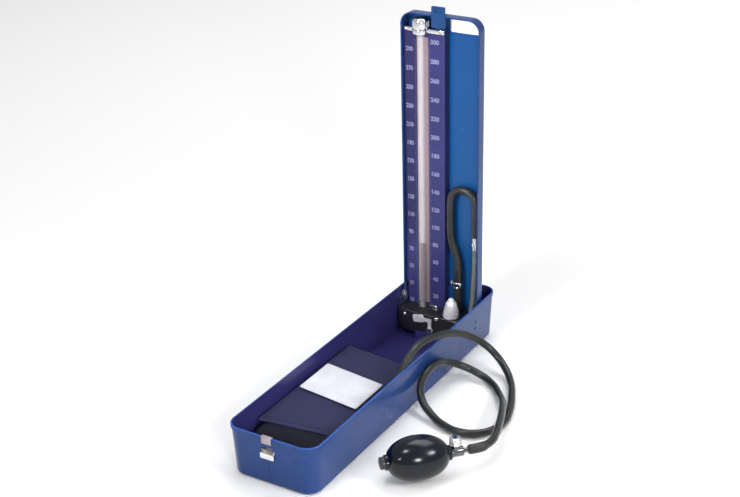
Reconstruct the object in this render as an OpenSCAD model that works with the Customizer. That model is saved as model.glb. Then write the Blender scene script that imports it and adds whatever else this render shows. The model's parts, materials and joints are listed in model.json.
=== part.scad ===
// Mercury sphygmomanometer in a folding metal case.
// Millimetres. +Z is up, and +Y runs from the latch end of the tray to the lid end.
// The origin is the centre of the tray's flat underside. The lid stands upright at rest.

/* [Case tray] */
// Width of the tray's wall at the rim
tray_w = 92.6; // [90:0.2:100]
// Length of the tray's wall at the rim
tray_l = 356; // [350:1:370]
// Height of the tray
tray_h = 50; // [48:0.5:56]
// How far each wall leans in at the bottom
tray_draft = 2; // [1:0.1:2.4]
// Thickness of the tray's walls
tray_wall = 0.9; // [0.7:0.1:1.1]
// Thickness of the tray's floor
tray_floor = 1.2; // [0.8:0.1:1.6]
// Radius of the tray's upright corners
tray_corner_r = 14; // [10:1:18]
// How far the folded rim stands out from the wall
rim_out = 0.7; // [0.4:0.1:1.2]
// Height of the folded rim
rim_h = 3; // [2:0.5:5]

/* [Lid] */
// Distance of the hinge axis from the tray's far end
pivot_inset = 38; // [37:0.5:44]
// Height of the hinge axis above the base
pivot_z = 39; // [38:0.5:41]
// Gap between the lid and the tray's rim on each side
lid_gap = 3.3; // [3.1:0.1:4.3]
// Depth of the lid
lid_d = 13; // [12.6:0.2:13.6]
// How far the lid's open rim lies in front of the hinge axis
lid_forward = 2; // [1.5:0.1:3]
// Height of the lid's lower end above the base
lid_bottom = 5.2; // [5.2:0.1:7]
// Gap between the closed lid's end and the tray's latch end
lid_end_gap = 11; // [9:0.5:14]
// Thickness of the lid's sheet
lid_wall = 1; // [0.8:0.1:1.2]
// Radius of the lid's corners
lid_corner_r = 12; // [8:1:14]

/* [Hinge] */
// Radius of the hinge pins
pin_r = 2.5; // [2:0.1:3]
// Radial clearance of the hinge pins in the lid
pin_clear = 0.05; // [0.03:0.01:0.09]
// Thickness of the hinge ears on the tray
ear_t = 0.8; // [0.6:0.1:0.9]
// Gap between a hinge ear and the lid
ear_gap = 0.2; // [0.15:0.05:0.25]
// Thickness of the plates that stiffen the lid at the hinge
hinge_plate_t = 1; // [0.8:0.1:1.5]
// Radius of the hinge pins' inner heads
pin_head_r = 4; // [3.5:0.1:4.6]

/* [Manometer] */
// Length of the scale for each millimetre of mercury
mm_per_mmhg = 0.98; // [0.96:0.005:0.985]
// Height of the scale's zero above the base
zero_z = 24; // [22:0.5:24.5]
// Reading that the column stands at
reading = 80; // [20:1:260]
// Width of the scale plate
plate_w = 45.6; // [42:0.2:46]
// Gap between the scale plate and the lid's left wall
plate_gap = 0.2; // [0.1:0.1:0.6]
// How far the scale plate lies inside the lid's rim
plate_recess = 4; // [3:0.2:5]
// Thickness of the scale plate
plate_t = 1; // [0.8:0.1:1.4]
// Width of the window behind the tube
window_w = 13; // [12:0.5:14]
// Thickness of the white backing strip
backing_t = 1; // [0.6:0.1:1.4]
// Distance of the tube's axis from the scale plate's left edge
tube_inset = 20.8; // [20:0.2:23]
// Outer radius of the glass tube
tube_r = 4; // [3.6:0.1:4.2]
// Inner radius of the glass tube
bore_r = 2.1; // [1.6:0.1:2.4]
// Gap between the tube and the strip behind it
tube_gap = 0.1; // [0.05:0.05:0.4]
// Distance of the scale plate's top from the lid's top
plate_drop = 15; // [14.5:0.5:18]
// Height of the top clamp bar
clamp_h = 4; // [3:0.5:6]
// Radius of the tube's top cap
cap_r = 8; // [7:0.2:9]
// Height of the tube's top cap
cap_h = 11; // [9:0.5:13]

/* [Reservoir] */
// Depth of the reservoir housing in front of the hinge axis
housing_front = 18; // [17:0.5:19]
// Height of the housing's top above the base
housing_top = 31; // [30:0.5:33]
// Height of the housing's underside above the base
housing_bottom = 7.2; // [7.2:0.1:8]
// Width of the clear channel for the air line, right of the housing
air_channel = 11; // [10:0.5:13]
// Wall of the housing
housing_wall = 1.6; // [1.2:0.1:2]
// Outer radius of the mercury cup
cup_r = 11; // [10:0.2:11.4]
// Wall of the mercury cup
cup_wall = 1.2; // [0.8:0.1:1.6]
// Distance between the axes of the cup and the air nozzle, across the lid
cup_offset = 4.4; // [4:0.1:4.8]
// Radius of the bell-shaped cap at its foot
bell_r = 8.5; // [8:0.1:8.6]
// Height of the bell-shaped cap
bell_h = 21; // [17:0.5:24]
// Radius of the stopcock's barrel
cock_r = 4.5; // [4:0.1:5]
// Radius of the stopcock's spindle
spindle_r = 2; // [1.6:0.1:2.4]
// Radial clearance of the spindle
spindle_clear = 0.05; // [0.03:0.01:0.09]
// Distance of the lever's thumb pad from the spindle, across the lid
lever_l = 13.3; // [12:0.1:14]
// Height of the lever's level arm above the spindle, at rest
lever_rise = 11; // [10:0.2:11.6]
// Tilt of the lever's thumb pad
pad_tilt = 10; // [0:1:14]

/* [Air lines] */
// Radius of the loop between the reservoir and the connector
loop_r = 4; // [3.6:0.1:4.2]
// Radius of the line from the connector to the cuff
line_r = 3; // [2.6:0.1:3.2]
// Radius of the hose to the bulb
hose_r = 3.7; // [3.4:0.1:3.9]
// Radius of the sleeve on the reservoir's nozzle
sleeve_r = 4.7; // [4.4:0.1:5]
// Length of the sleeve
sleeve_l = 51; // [48:1:54]

/* [Cuff] */
// Gap between the rolled cuff and the tray's left wall
cuff_left = 1.4; // [0.6:0.2:4]
// Gap between the rolled cuff and the tray's right wall
cuff_right = 5.4; // [4:0.2:8]
// Length of the rolled cuff
cuff_l = 195; // [185:1:198]
// Thickness of the rolled cuff along its left side
cuff_h = 34.5; // [31:0.5:35.5]
// Fall of the rolled cuff's top from its left side to its right
cuff_fall = 9; // [6:0.5:10]
// Distance of the rolled cuff from the tray's latch end
cuff_inset = 19; // [17:0.5:22]
// Width of the label
label_w = 62; // [50:1:64]
// Length of the label
label_l = 50; // [40:1:60]
// Distance of the label from the rolled cuff's hinge end
label_back = 57; // [40:1:80]
// Thickness of the label
label_t = 0.5; // [0.3:0.1:0.8]

/* [Bulb] */
// Radius of the bulb
bulb_r = 20.5; // [19:0.5:22]
// Length of the bulb's rubber
bulb_l = 58; // [54:1:62]
// Wall of the bulb
bulb_wall = 2.4; // [1.8:0.1:3]
// Radius of the release valve's barrel
valve_r = 4.6; // [4.2:0.1:5]
// Length of the release valve's barrel
valve_l = 12; // [11:0.5:15]
// Height of the release valve's boss over its barrel
boss_rise = 2.5; // [2.2:0.1:4]
// Radius of the release screw's knob
knob_r = 5.6; // [5:0.1:6.4]
// Height of the release screw's knob
knob_h = 7; // [6:0.5:9]

/* [Latch] */
// Distance of the latch from the tray's middle
latch_x = -1.5; // [-4:0.5:2]
// Width of the latch button
button_w = 14.4; // [12:0.2:16]
// Height of the latch button
button_h = 6; // [5:0.2:7]
// Travel of the latch button
button_travel = 2; // [1.6:0.1:2]
// Gap around the latch button in its window
button_gap = 0.3; // [0.2:0.05:0.5]
// Width of the lid's tongue
tongue_w = 15; // [13:0.5:17]
// Thickness of the lid's tongue
tongue_t = 1.2; // [1:0.1:1.4]
// How far the tongue reaches past the lid's end
tongue_out = 9; // [8:0.5:9.5]

/* [Hidden] */
$fn = 48;
HULL_FN = 32;
KNURLS = 24;

// Small margins: a cut that runs past a face, and a gap between pieces that don't touch
CUT = 1;
SLIM = 0.3;

// Case and latch
front_y = -tray_l / 2;
rim_y = front_y - rim_out;
rivet_r = 1.5;
screw_r = 1;
clip_t = 0.8;
clip_w = 10.4;
clip_leg = 4;
clip_front = 6.5;
slot_w = 10;
button_z = pivot_z - 11;
button_top = button_z + button_h;
wall_y = front_y + tray_inset(button_z);
button_front = wall_y - button_travel - 0.1;
hook_y0 = wall_y + tray_wall + 0.25;
hook_t = 1.6;
hook_w = 6;
riser_y0 = hook_y0 + 1.9;
riser_t = 1.4;
hook_reach = 1.1;
slider_side = 1.4;
spring_r = 2.3;
spring_wire = 0.7;
guide_gap = 0.3;
guide_t = 0.8;
guide_back = hook_y0 + 10;
guide_end = guide_back + guide_t;

// Lid and hinge
lid_w = tray_w - 2 * lid_gap;
pivot_y = tray_l / 2 - pivot_inset;
lid_front = pivot_y - lid_forward;
lid_back = lid_front + lid_d;
lid_inner_back = lid_back - lid_wall;
lid_top = pivot_y + pivot_z + tray_l / 2 - lid_end_gap;
lid_side = lid_w / 2;
lid_inner = lid_side - lid_wall;
lobe_r = 6.3;
pin_head_t = 1;
pin_head_x = lid_inner - hinge_plate_t - 0.1;
ear_r = 6;
ear_foot = pivot_z - 20;
ear_rivet_y = pivot_y - 9;
EAR_RIVETS_Z = [pivot_z - 15, pivot_z - 7];
plate_rivet_z = pivot_z + 11;
PLATE_RIVETS_Y = [lid_front + 3.5, lid_inner_back - 3];
tongue_front = lid_front + 0.2;
tongue_tip = lid_top + tongue_out;
tongue_rivet_y = lid_front + 8;
TONGUE_RIVETS = [-4.5, 4.5];
tongue_eye_w = 7.2;
slot_z = pivot_z + tongue_front - pivot_y - 0.8;
slot_h = tongue_t + 1.6;
hook_top = slot_z + slot_h + 1.8;
stop_w = 40;
stop_t = 1.2;
stop_foot = 12;

// Manometer
plate_x0 = -lid_inner + plate_gap;
plate_x1 = plate_x0 + plate_w;
plate_front = lid_front + plate_recess;
plate_back = plate_front + plate_t;
tube_x = plate_x0 + tube_inset;
tube_y = plate_back - tube_gap - tube_r;
plate_top = lid_top - plate_drop;
clamp_t = 1.6;
clamp_mid = plate_top - clamp_h / 2;
CLAMP_SCREWS_X = [plate_x0 + 4, plate_x1 - 4];
neck_r = tube_r + 2;
collar_r = neck_r + 2.2;
seal_t = 1.5;
filter_t = 1.5;
tube_foot = housing_top - 5;
seal_z = tube_foot - seal_t;
tube_head = plate_top + 3;
filter_z = tube_head + seal_t;
column_top = zero_z + reading * mm_per_mmhg;
mercury_gap = 0.02;

// Reservoir
housing_y0 = pivot_y - housing_front;
housing_x0 = -lid_inner + SLIM;
housing_x1 = lid_inner - air_channel;
housing_corner_r = lid_corner_r - lid_wall - SLIM;
HOUSING_SCREWS = [
    [housing_x0 + 8, housing_top - 5], [3.9, housing_top - 2.9], [housing_x1 - 5, housing_bottom + 6]
];
screw_head_h = 1.1;
bell_y = housing_y0 + bell_r + 0.4;
nozzle_x = housing_x1 - cup_r - 2.1;
nozzle_y = bell_y + bell_r + sleeve_r + 0.1;
bell_x = nozzle_x - 1.1;
cup_x = nozzle_x - cup_offset;
cup_y = housing_y0 + housing_wall + cup_r + 0.4;
cup_foot = housing_bottom + housing_wall;
cup_rim = housing_top - housing_wall - 3;
cup_face = 9.9;
bell_neck_r = 4.4;
channel_r = 1.6;
channel_z = cup_foot + cup_wall + 5;
block_w = 13;
cock_x = cup_x - cup_r - cock_r - 0.5;
block_x1 = cock_x - cock_r - 0.5;
cock_back = tube_y + 5;
lever_y = housing_y0 - screw_head_h - 0.4;
lever_t = 1.6;
lever_w = 3.6;
pad_w = 12.4;
pad_h = 8.4;
nozzle_r = 2.6;
nozzle_foot = 1.5;
nozzle_l = 14;
sleeve_top = housing_top + nozzle_foot + sleeve_l;
band_z = housing_top + 28.5;
band_h = 6.5;

// Connector of the air line
link_x = lid_inner - 4.4;
link_y = pivot_y + 4;
link_z = 106;
link_l = 14;

// Cuff
floor_side = tray_w / 2 - tray_draft - tray_wall;
cuff_w = 2 * floor_side - cuff_left - cuff_right;
cuff_x = (cuff_left - cuff_right) / 2;
cuff_y0 = front_y + cuff_inset;
cuff_y1 = cuff_y0 + cuff_l;
cuff_z0 = tray_floor + SLIM;
cuff_top = cuff_z0 + cuff_h;
cuff_slant = atan(cuff_fall / cuff_w);
label_inset = 4;
label_y = cuff_y1 - label_back - label_l / 2;
pocket_gap = 0.3;
bladder_w = 60;
bladder_l = 120;
bladder_t = 4;
bladder_y0 = cuff_y0 + 36;
bladder_z0 = cuff_z0 + 10;

// Bulb
bulb_x = 107;
bulb_y = -103;
bulb_turn = 45;
bulb_neck_r = 7;
bulb_bore_r = 4.5;
bulb_end = bulb_l / 2 + 1.5;
valve_end = bulb_end + valve_l;
nipple_end = valve_end + 6;
valve_x = bulb_end + 4.5;
knob_z = valve_r + boss_rise + 0.5;
screw_shaft_r = 1.6;

// Route of the loop from the reservoir's nozzle to the connector, from the lid's right wall
// and the hinge axis
LOOP = [
    [-24.1, 4.2, 83.5], [-24.6, 4.2, 90], [-26.1, 4.2, 96.2], [-28.4, 4.1, 102], [-30.7, 4.1, 107.8],
    [-32.2, 4, 113.9], [-32.8, 4, 121], [-32.9, 4, 131], [-32.9, 4, 142], [-32.9, 4, 153.5],
    [-31, 4, 161.5], [-25.8, 4, 166.7], [-18.6, 4, 168.6], [-11.5, 4, 166.7], [-6.3, 4, 161.5],
    [-4.4, 4, 153.5], [-4.4, 4, 145], [-4.4, 4, 136], [-4.4, 4, 128], [-4.4, 4, 120]
];

// Route of the line from the connector: down past the hinge, from the same place, and then
// along the floor to the cuff's end
RISE = [
    [-4.4, 4, 105.9], [-4.4, 4, 96], [-5, 3.6, 76], [-5.6, 2.6, 58], [-6, 0.6, 44], [-6, -3.5, 31],
    [-6, -10.5, 19.5], [-6, -20.5, 11], [-6, -33.5, 6.2]
];
RUN = [
    [-6.5, 56, 5], [-8.5, 40, 5.5], [-11.5, 25, 8], [-14.5, 12, 11.5], [-16, 0, 14]
];
LINE = concat(
    [for (p = RISE) p + [lid_inner, pivot_y, 0]],
    [for (p = RUN) p + [lid_inner, cuff_y1, 0]]);

// Route of the hose from the cuff, over the rim, round one loop and on to the bulb
HOSE = [
    [33.8, -24.5, 20.5], [36.8, -18.2, 29.5], [39.2, -11.2, 41], [40.4, -2, 50.8], [41, 10.9, 56.8],
    [42.2, 24.1, 58.3], [45.4, 39.3, 57.7], [49.4, 55.2, 54.6], [53.8, 71.8, 48.5], [61, 89.1, 38.5],
    [70.6, 99.4, 28], [82.9, 101.7, 17.5], [96.4, 95.5, 9.1], [109.3, 81.1, 4.6], [121.1, 59.6, 4.3],
    [131.6, 33.7, 4], [136.4, 11.5, 4], [133.2, -6.6, 4], [123, -19, 4], [108.3, -24.5, 4],
    [90.3, -22, 4.4], [71.5, -13.7, 7.5], [57.2, -5.4, 15.2], [50.6, 5.4, 24.1], [49.7, 20, 30.7],
    [49.9, 37.5, 30.3], [51.7, 58, 22.2], [60.9, 70.4, 14.6], [76.5, 75.2, 7.9], [93.8, 69.9, 4.3],
    [110.9, 52.3, 4.8], [122.4, 35.2, 9.2], [130.6, 18.6, 13.2], [138.2, 0.5, 16], [144.6, -17.5, 18],
    [149.9, -34.5, 19.4], [151.8, -44.4, 20.1], [150.7, -54.2, 20.4], [146.8, -62.8, 20.5],
    [141.3, -68.7, 20.5]
];

// ---------- shared shapes ----------

// How far the tray's wall leans in at a height
function tray_inset(z) = tray_draft * (1 - z / tray_h);

// Flat outline with round corners
module round_rect(w, l, r) {
    square([w - 2 * r, l], center = true);
    square([w, l - 2 * r], center = true);
    for (sx = [-1, 1])
        for (sy = [-1, 1])
            translate([sx * (w / 2 - r), sy * (l / 2 - r)])
                circle(r);
}

// Tapered block with the tray's corners; skin is how far it lies inside the outer wall
module tray_block(z0, z1, skin) {
    hull()
        for (sx = [-1, 1])
            for (sy = [-1, 1])
                translate([sx * (tray_w / 2 - tray_corner_r), sy * (tray_l / 2 - tray_corner_r), z0])
                    cylinder(h = z1 - z0, r1 = tray_corner_r - skin - tray_inset(z0),
                             r2 = tray_corner_r - skin - tray_inset(z1), $fn = HULL_FN);
}

// Block between two corners
module block(a, b) {
    translate(a)
        cube(b - a);
}

// Plate with the lid's upright outline, standing between two depths
module lid_slab(y0, y1, inset) {
    height = lid_top - lid_bottom;
    translate([0, y1, lid_bottom + height / 2])
        rotate([90, 0, 0])
            linear_extrude(y1 - y0)
                round_rect(lid_w - 2 * inset, height - 2 * inset, lid_corner_r - inset);
}

// Rod along X, the same on either side, rod along Y, and rod upright
module rod_x(x0, x1, y, z, r) {
    translate([x0, y, z])
        rotate([0, 90, 0])
            cylinder(h = x1 - x0, r = r);
}
module bar_x(side, x0, x1, y, z, r) {
    rod_x(side > 0 ? x0 : -x1, side > 0 ? x1 : -x0, y, z, r);
}
module rod_y(y0, y1, x, z, r) {
    translate([x, y0, z])
        rotate([-90, 0, 0])
            cylinder(h = y1 - y0, r = r);
}
module rod_z(z0, z1, x, y, r) {
    translate([x, y, z0])
        cylinder(h = z1 - z0, r = r);
}

// Screw or rivet head with a domed face, standing on z = 0
module dome_head(r, h) {
    rotate_extrude()
        intersection() {
            translate([0, h - (r * r + h * h) / (2 * h)])
                circle((r * r + h * h) / (2 * h));
            square([r, h]);
        }
}

// ---------- hoses ----------

function unit(v) = v / norm(v);
function blend(a, b, c, d, t) = 0.5 * (2 * b + (c - a) * t + (2 * a - 5 * b + 4 * c - d) * t * t
                                       + (3 * b - a - 3 * c + d) * t * t * t);
function at(route, i) = route[max(0, min(len(route) - 1, i))];
function smooth(route, steps) = concat(
    [for (i = [0 : len(route) - 2])
        for (s = [0 : steps - 1])
            blend(at(route, i - 1), at(route, i), at(route, i + 1), at(route, i + 2), s / steps)],
    [route[len(route) - 1]]);
function heading(path, i) = unit(at(path, i + 1) - at(path, i - 1));
function level(v, t) = unit(v - (v * t) * t);
function carried(path, i, n) = i == len(path) ? [] :
    let (m = level(n, heading(path, i))) concat([m], carried(path, i + 1, m));

// Round hose along a route
module hose(route, r, steps, sides) {
    path = smooth(route, steps);
    sideways = carried(path, 0, [0.31, 0.52, -0.8]);
    rings = [for (i = [0 : len(path) - 1])
        for (j = [0 : sides - 1])
            let (a = 360 * j / sides, t = heading(path, i), n = sideways[i], b = cross(t, n))
                path[i] + r * (cos(a) * n + sin(a) * b)];
    walls = [for (i = [0 : len(path) - 2])
        for (j = [0 : sides - 1])
            let (k = (j + 1) % sides)
                [i * sides + j, (i + 1) * sides + j, (i + 1) * sides + k, i * sides + k]];
    near = [for (j = [0 : sides - 1]) j];
    far = [for (j = [sides - 1 : -1 : 0]) (len(path) - 1) * sides + j];
    polyhedron(rings, concat(walls, [near, far]), convexity = 8);
}

// ---------- case ----------

// Left face of the hinge ear on a side
function ear_x(side) = side > 0 ? lid_side + ear_gap : -lid_side - ear_gap - ear_t;

// Pressed steel tray with a folded rim and the latch's openings
module tray_shell() {
    color("royalblue")
    difference() {
        union() {
            tray_block(0, tray_h, 0);
            translate([0, 0, tray_h - rim_h])
                linear_extrude(rim_h)
                    round_rect(tray_w + 2 * rim_out, tray_l + 2 * rim_out, tray_corner_r + rim_out);
        }
        tray_block(tray_floor, tray_h + CUT, tray_wall);
        block([latch_x - button_w / 2 - button_gap, front_y - CUT, button_z - button_gap],
              [latch_x + button_w / 2 + button_gap, front_y + 5, button_top + button_gap]);
        block([latch_x - slot_w / 2, front_y - CUT, slot_z],
              [latch_x + slot_w / 2, front_y + 4, slot_z + slot_h]);
        for (side = [-1, 1])
            for (z = EAR_RIVETS_Z)
                rod_x(side * tray_w / 2 - 4, side * tray_w / 2 + 4, ear_rivet_y, z, rivet_r);
    }
}

// Steel ears that carry the hinge pins, one against each side wall
module hinge_ears() {
    color("slategray")
    for (side = [-1, 1])
        difference() {
            union() {
                rod_x(ear_x(side), ear_x(side) + ear_t, pivot_y, pivot_z, ear_r);
                block([ear_x(side), pivot_y - ear_r, ear_foot],
                      [ear_x(side) + ear_t, pivot_y + ear_r, pivot_z]);
                block([ear_x(side), ear_rivet_y - ear_r / 2, ear_foot],
                      [ear_x(side) + ear_t, pivot_y, pivot_z]);
            }
            rod_x(ear_x(side) - CUT, ear_x(side) + ear_t + CUT, pivot_y, pivot_z, pin_r);
            for (z = EAR_RIVETS_Z)
                rod_x(ear_x(side) - CUT, ear_x(side) + ear_t + CUT, ear_rivet_y, z, rivet_r);
        }
}

// Rivets that hold the ears to the side walls
module ear_rivets() {
    color("silver")
    for (side = [-1, 1])
        for (z = EAR_RIVETS_Z) {
            inner = lid_side + ear_gap;
            outer = tray_w / 2 - tray_inset(z) + 0.1;
            bar_x(side, inner, outer, ear_rivet_y, z, rivet_r);
            translate([side * outer, ear_rivet_y, z])
                rotate([0, side * 90, 0])
                    dome_head(rivet_r + 0.8, 0.5);
            translate([side * inner, ear_rivet_y, z])
                rotate([0, side * -90, 0])
                    dome_head(rivet_r + 0.9, 0.8);
        }
}

// Shouldered hinge pins with heads inside the lid
module pivot_pins() {
    color("silver")
    for (side = [-1, 1]) {
        shaft_end = lid_side + ear_gap + ear_t;
        bar_x(side, pin_head_x, shaft_end, pivot_y, pivot_z, pin_r);
        bar_x(side, pin_head_x - pin_head_t, pin_head_x, pivot_y, pivot_z, pin_head_r);
    }
}

// Angle on the tray's floor that the upright manometer rests against
module lid_stop() {
    stop_y = housing_y0 - SLIM;
    color("slategray") {
        block([-stop_w / 2, stop_y - stop_t, tray_floor], [stop_w / 2, stop_y, housing_bottom + 3]);
        block([-stop_w / 2, stop_y - stop_foot, tray_floor], [stop_w / 2, stop_y, tray_floor + stop_t]);
    }
}

// Bright clip over the rim above the latch
module keeper_clip() {
    x0 = latch_x - clip_w / 2;
    x1 = latch_x + clip_w / 2;
    inside_y = front_y + tray_wall + tray_inset(tray_h - clip_leg);
    color("silver") {
        block([x0, rim_y - clip_t, tray_h - clip_front], [x1, rim_y, tray_h + clip_t]);
        block([x0, rim_y - clip_t, tray_h], [x1, inside_y + clip_t, tray_h + clip_t]);
        block([x0, inside_y, tray_h - clip_leg], [x1, inside_y + clip_t, tray_h + clip_t]);
    }
}

// Chrome push button in the front wall
module latch_button() {
    rim = 1.2;
    color("silver")
    difference() {
        block([latch_x - button_w / 2, button_front, button_z],
              [latch_x + button_w / 2, hook_y0, button_top]);
        block([latch_x - button_w / 2 + rim, button_front + rim, button_z + rim],
              [latch_x + button_w / 2 - rim, hook_y0 + CUT, button_top - rim]);
    }
}

// Steel slider behind the button, with the hook that holds the tongue
module latch_hook() {
    x0 = latch_x - hook_w / 2;
    x1 = latch_x + hook_w / 2;
    side = button_w / 2 + slider_side;
    color("gray") {
        block([latch_x - side, hook_y0, button_z], [latch_x + side, hook_y0 + hook_t, button_top]);
        block([x0, hook_y0, button_top - 0.6], [x1, riser_y0 + riser_t, button_top + 1]);
        block([x0, riser_y0, button_top], [x1, riser_y0 + riser_t, hook_top]);
        block([x0, riser_y0 - hook_reach, hook_top - 1.5], [x1, riser_y0, hook_top]);
        rod_y(hook_y0 + hook_t, hook_y0 + hook_t + 3, latch_x, button_z + button_h / 2, 1.2);
    }
}

// Steel frame on the front wall that guides the slider and backs the spring
module latch_guide() {
    inner = button_w / 2 + slider_side + guide_gap;
    outer = inner + guide_t;
    foot = button_z - guide_gap;
    guide_y0 = front_y + tray_inset(foot - guide_t) + tray_wall;
    color("slategray") {
        block([latch_x - outer, guide_y0, foot - guide_t], [latch_x + outer, guide_end, foot]);
        block([latch_x - outer, guide_back, foot - guide_t], [latch_x + outer, guide_end, button_top]);
        block([latch_x - outer, guide_y0, foot - guide_t], [latch_x - inner, guide_end, button_top]);
        block([latch_x + inner, guide_y0, foot - guide_t], [latch_x + outer, guide_end, button_top]);
    }
}

// Coil spring that pushes the button out
module latch_spring() {
    length = guide_back - hook_y0 - hook_t;
    color("silver")
    translate([latch_x, hook_y0 + hook_t, button_z + button_h / 2])
        rotate([-90, 0, 0])
            difference() {
                cylinder(h = length, r = spring_r);
                translate([0, 0, -CUT])
                    cylinder(h = length + 2 * CUT, r = spring_r - spring_wire);
            }
}

// ---------- lid ----------

// Pressed steel lid: a shallow pan that stands on its end
module lid_shell() {
    color("royalblue")
    difference() {
        union() {
            lid_slab(lid_front, lid_back, 0);
            for (side = [-1, 1])
                bar_x(side, lid_inner, lid_side, pivot_y, pivot_z, lobe_r);
        }
        lid_slab(lid_front - CUT, lid_inner_back, lid_wall);
        rod_x(-lid_side - CUT, lid_side + CUT, pivot_y, pivot_z, pin_r + pin_clear);
        block([latch_x - tongue_w / 2 - SLIM, lid_front - CUT, lid_top - lid_wall - CUT],
              [latch_x + tongue_w / 2 + SLIM, tongue_front + tongue_t, lid_top + CUT]);
        for (x = TONGUE_RIVETS)
            rod_z(lid_top - lid_wall - CUT, lid_top + CUT, latch_x + x, tongue_rivet_y, rivet_r);
        for (side = [-1, 1])
            for (y = PLATE_RIVETS_Y)
                rod_x(side * lid_side - 2, side * lid_side + 2, y, plate_rivet_z, rivet_r);
    }
}

// Plates that stiffen the lid's sides at the hinge
module hinge_plates() {
    color("slategray")
    for (side = [-1, 1]) {
        x0 = side > 0 ? lid_inner - hinge_plate_t : -lid_inner;
        difference() {
            union() {
                rod_x(x0, x0 + hinge_plate_t, pivot_y, pivot_z, lobe_r);
                block([x0, lid_front + 0.4, pivot_z],
                      [x0 + hinge_plate_t, lid_inner_back - 0.5, plate_rivet_z + 4]);
            }
            rod_x(x0 - CUT, x0 + hinge_plate_t + CUT, pivot_y, pivot_z, pin_r + pin_clear);
            for (y = PLATE_RIVETS_Y)
                rod_x(x0 - CUT, x0 + hinge_plate_t + CUT, y, plate_rivet_z, rivet_r);
        }
    }
}

// Rivets that hold those plates
module plate_rivets() {
    color("silver")
    for (side = [-1, 1])
        for (y = PLATE_RIVETS_Y)
            bar_x(side, lid_inner - hinge_plate_t, lid_side, y, plate_rivet_z, rivet_r);
}

// Tongue on the lid's end that the latch holds
module lid_tongue() {
    x0 = latch_x - tongue_w / 2;
    x1 = latch_x + tongue_w / 2;
    color("mediumblue")
    difference() {
        union() {
            block([x0, tongue_front, lid_top - lid_wall - 11], [x1, tongue_front + tongue_t, tongue_tip]);
            block([x0, tongue_front, lid_top - lid_wall - tongue_t],
                  [x1, tongue_rivet_y + 3, lid_top - lid_wall]);
        }
        block([latch_x - tongue_eye_w / 2, tongue_front - CUT, tongue_tip - 5.8],
              [latch_x + tongue_eye_w / 2, tongue_front + tongue_t + CUT, tongue_tip - 1.7]);
        for (x = TONGUE_RIVETS)
            rod_z(lid_top - lid_wall - tongue_t - CUT, lid_top, latch_x + x, tongue_rivet_y, rivet_r);
    }
}

// Rivets through the tongue's foot and the lid's end
module tongue_rivets() {
    color("royalblue")
    for (x = TONGUE_RIVETS) {
        rod_z(lid_top - lid_wall - tongue_t, lid_top + 0.1, latch_x + x, tongue_rivet_y, rivet_r);
        translate([latch_x + x, tongue_rivet_y, lid_top])
            dome_head(rivet_r + 0.6, 0.5);
    }
}

// Bare white plate inside the lid's top
module name_plate() {
    color("white")
        block([plate_x1 + 2.5, lid_inner_back - label_t, lid_top - 17],
              [lid_inner - 4, lid_inner_back, lid_top - 3]);
}

// ---------- manometer ----------

// Scale plate: a folded channel with a window behind the tube
module scale_plate() {
    window_x0 = tube_x - window_w / 2;
    color("midnightblue")
    difference() {
        union() {
            block([plate_x0, plate_front, housing_top], [plate_x1, plate_back, plate_top]);
            block([plate_x0, plate_front, housing_top], [plate_x0 + plate_t, lid_inner_back, plate_top]);
            block([plate_x1 - plate_t, plate_front, housing_top], [plate_x1, lid_inner_back, plate_top]);
        }
        block([window_x0, plate_front - CUT, housing_top + 3],
              [window_x0 + window_w, plate_back + CUT, plate_top - 9]);
        block([plate_x0 - CUT, plate_front - CUT, housing_top - CUT],
              [-pin_head_x + pin_head_t + 0.4, lid_inner_back + CUT, plate_rivet_z + 5]);
        rod_z(plate_top - clamp_h - 1.4, plate_top + CUT, tube_x, tube_y, collar_r + 0.4);
        rod_z(housing_top - CUT, plate_top, tube_x, tube_y, tube_r + 0.02);
        for (x = CLAMP_SCREWS_X)
            rod_y(plate_front - CUT, plate_back + CUT, x, clamp_mid, screw_r);
    }
}

// White strip behind the tube
module tube_backing() {
    color("white")
        block([tube_x - window_w / 2 - 1.5, plate_back, housing_top],
              [tube_x + window_w / 2 + 1.5, plate_back + backing_t, plate_top - clamp_h - 1]);
}

// Glass tube with its bore
module glass_tube() {
    color("lightcyan", 0.4)
    difference() {
        rod_z(tube_foot, tube_head, tube_x, tube_y, tube_r);
        rod_z(tube_foot - CUT, tube_head + CUT, tube_x, tube_y, bore_r);
    }
}

// Mercury standing in the tube
module mercury_column() {
    color("gray")
        rod_z(tube_foot, column_top, tube_x, tube_y, bore_r - mercury_gap);
}

// Chrome cap on the tube's top, with its vent
module tube_cap() {
    color("silver")
    difference() {
        union() {
            rod_z(plate_top - clamp_h - 1, plate_top, tube_x, tube_y, neck_r);
            rod_z(plate_top, plate_top + cap_h - 2, tube_x, tube_y, cap_r);
            translate([tube_x, tube_y, plate_top + cap_h - 2])
                cylinder(h = 2, r1 = cap_r, r2 = cap_r - 2);
        }
        rod_z(plate_top - clamp_h - 2, filter_z + filter_t, tube_x, tube_y, tube_r + 0.05);
        rod_z(filter_z, plate_top + cap_h + CUT, tube_x, tube_y, 0.8);
    }
}

// Rubber ring over the tube's top end
module cap_seal() {
    color("dimgray")
    difference() {
        rod_z(tube_head, filter_z, tube_x, tube_y, tube_r);
        rod_z(tube_head - CUT, filter_z + CUT, tube_x, tube_y, bore_r);
    }
}

// Leather disc that lets air out and keeps mercury in
module vent_filter() {
    color("peru")
        rod_z(filter_z, filter_z + filter_t, tube_x, tube_y, tube_r);
}

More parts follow.
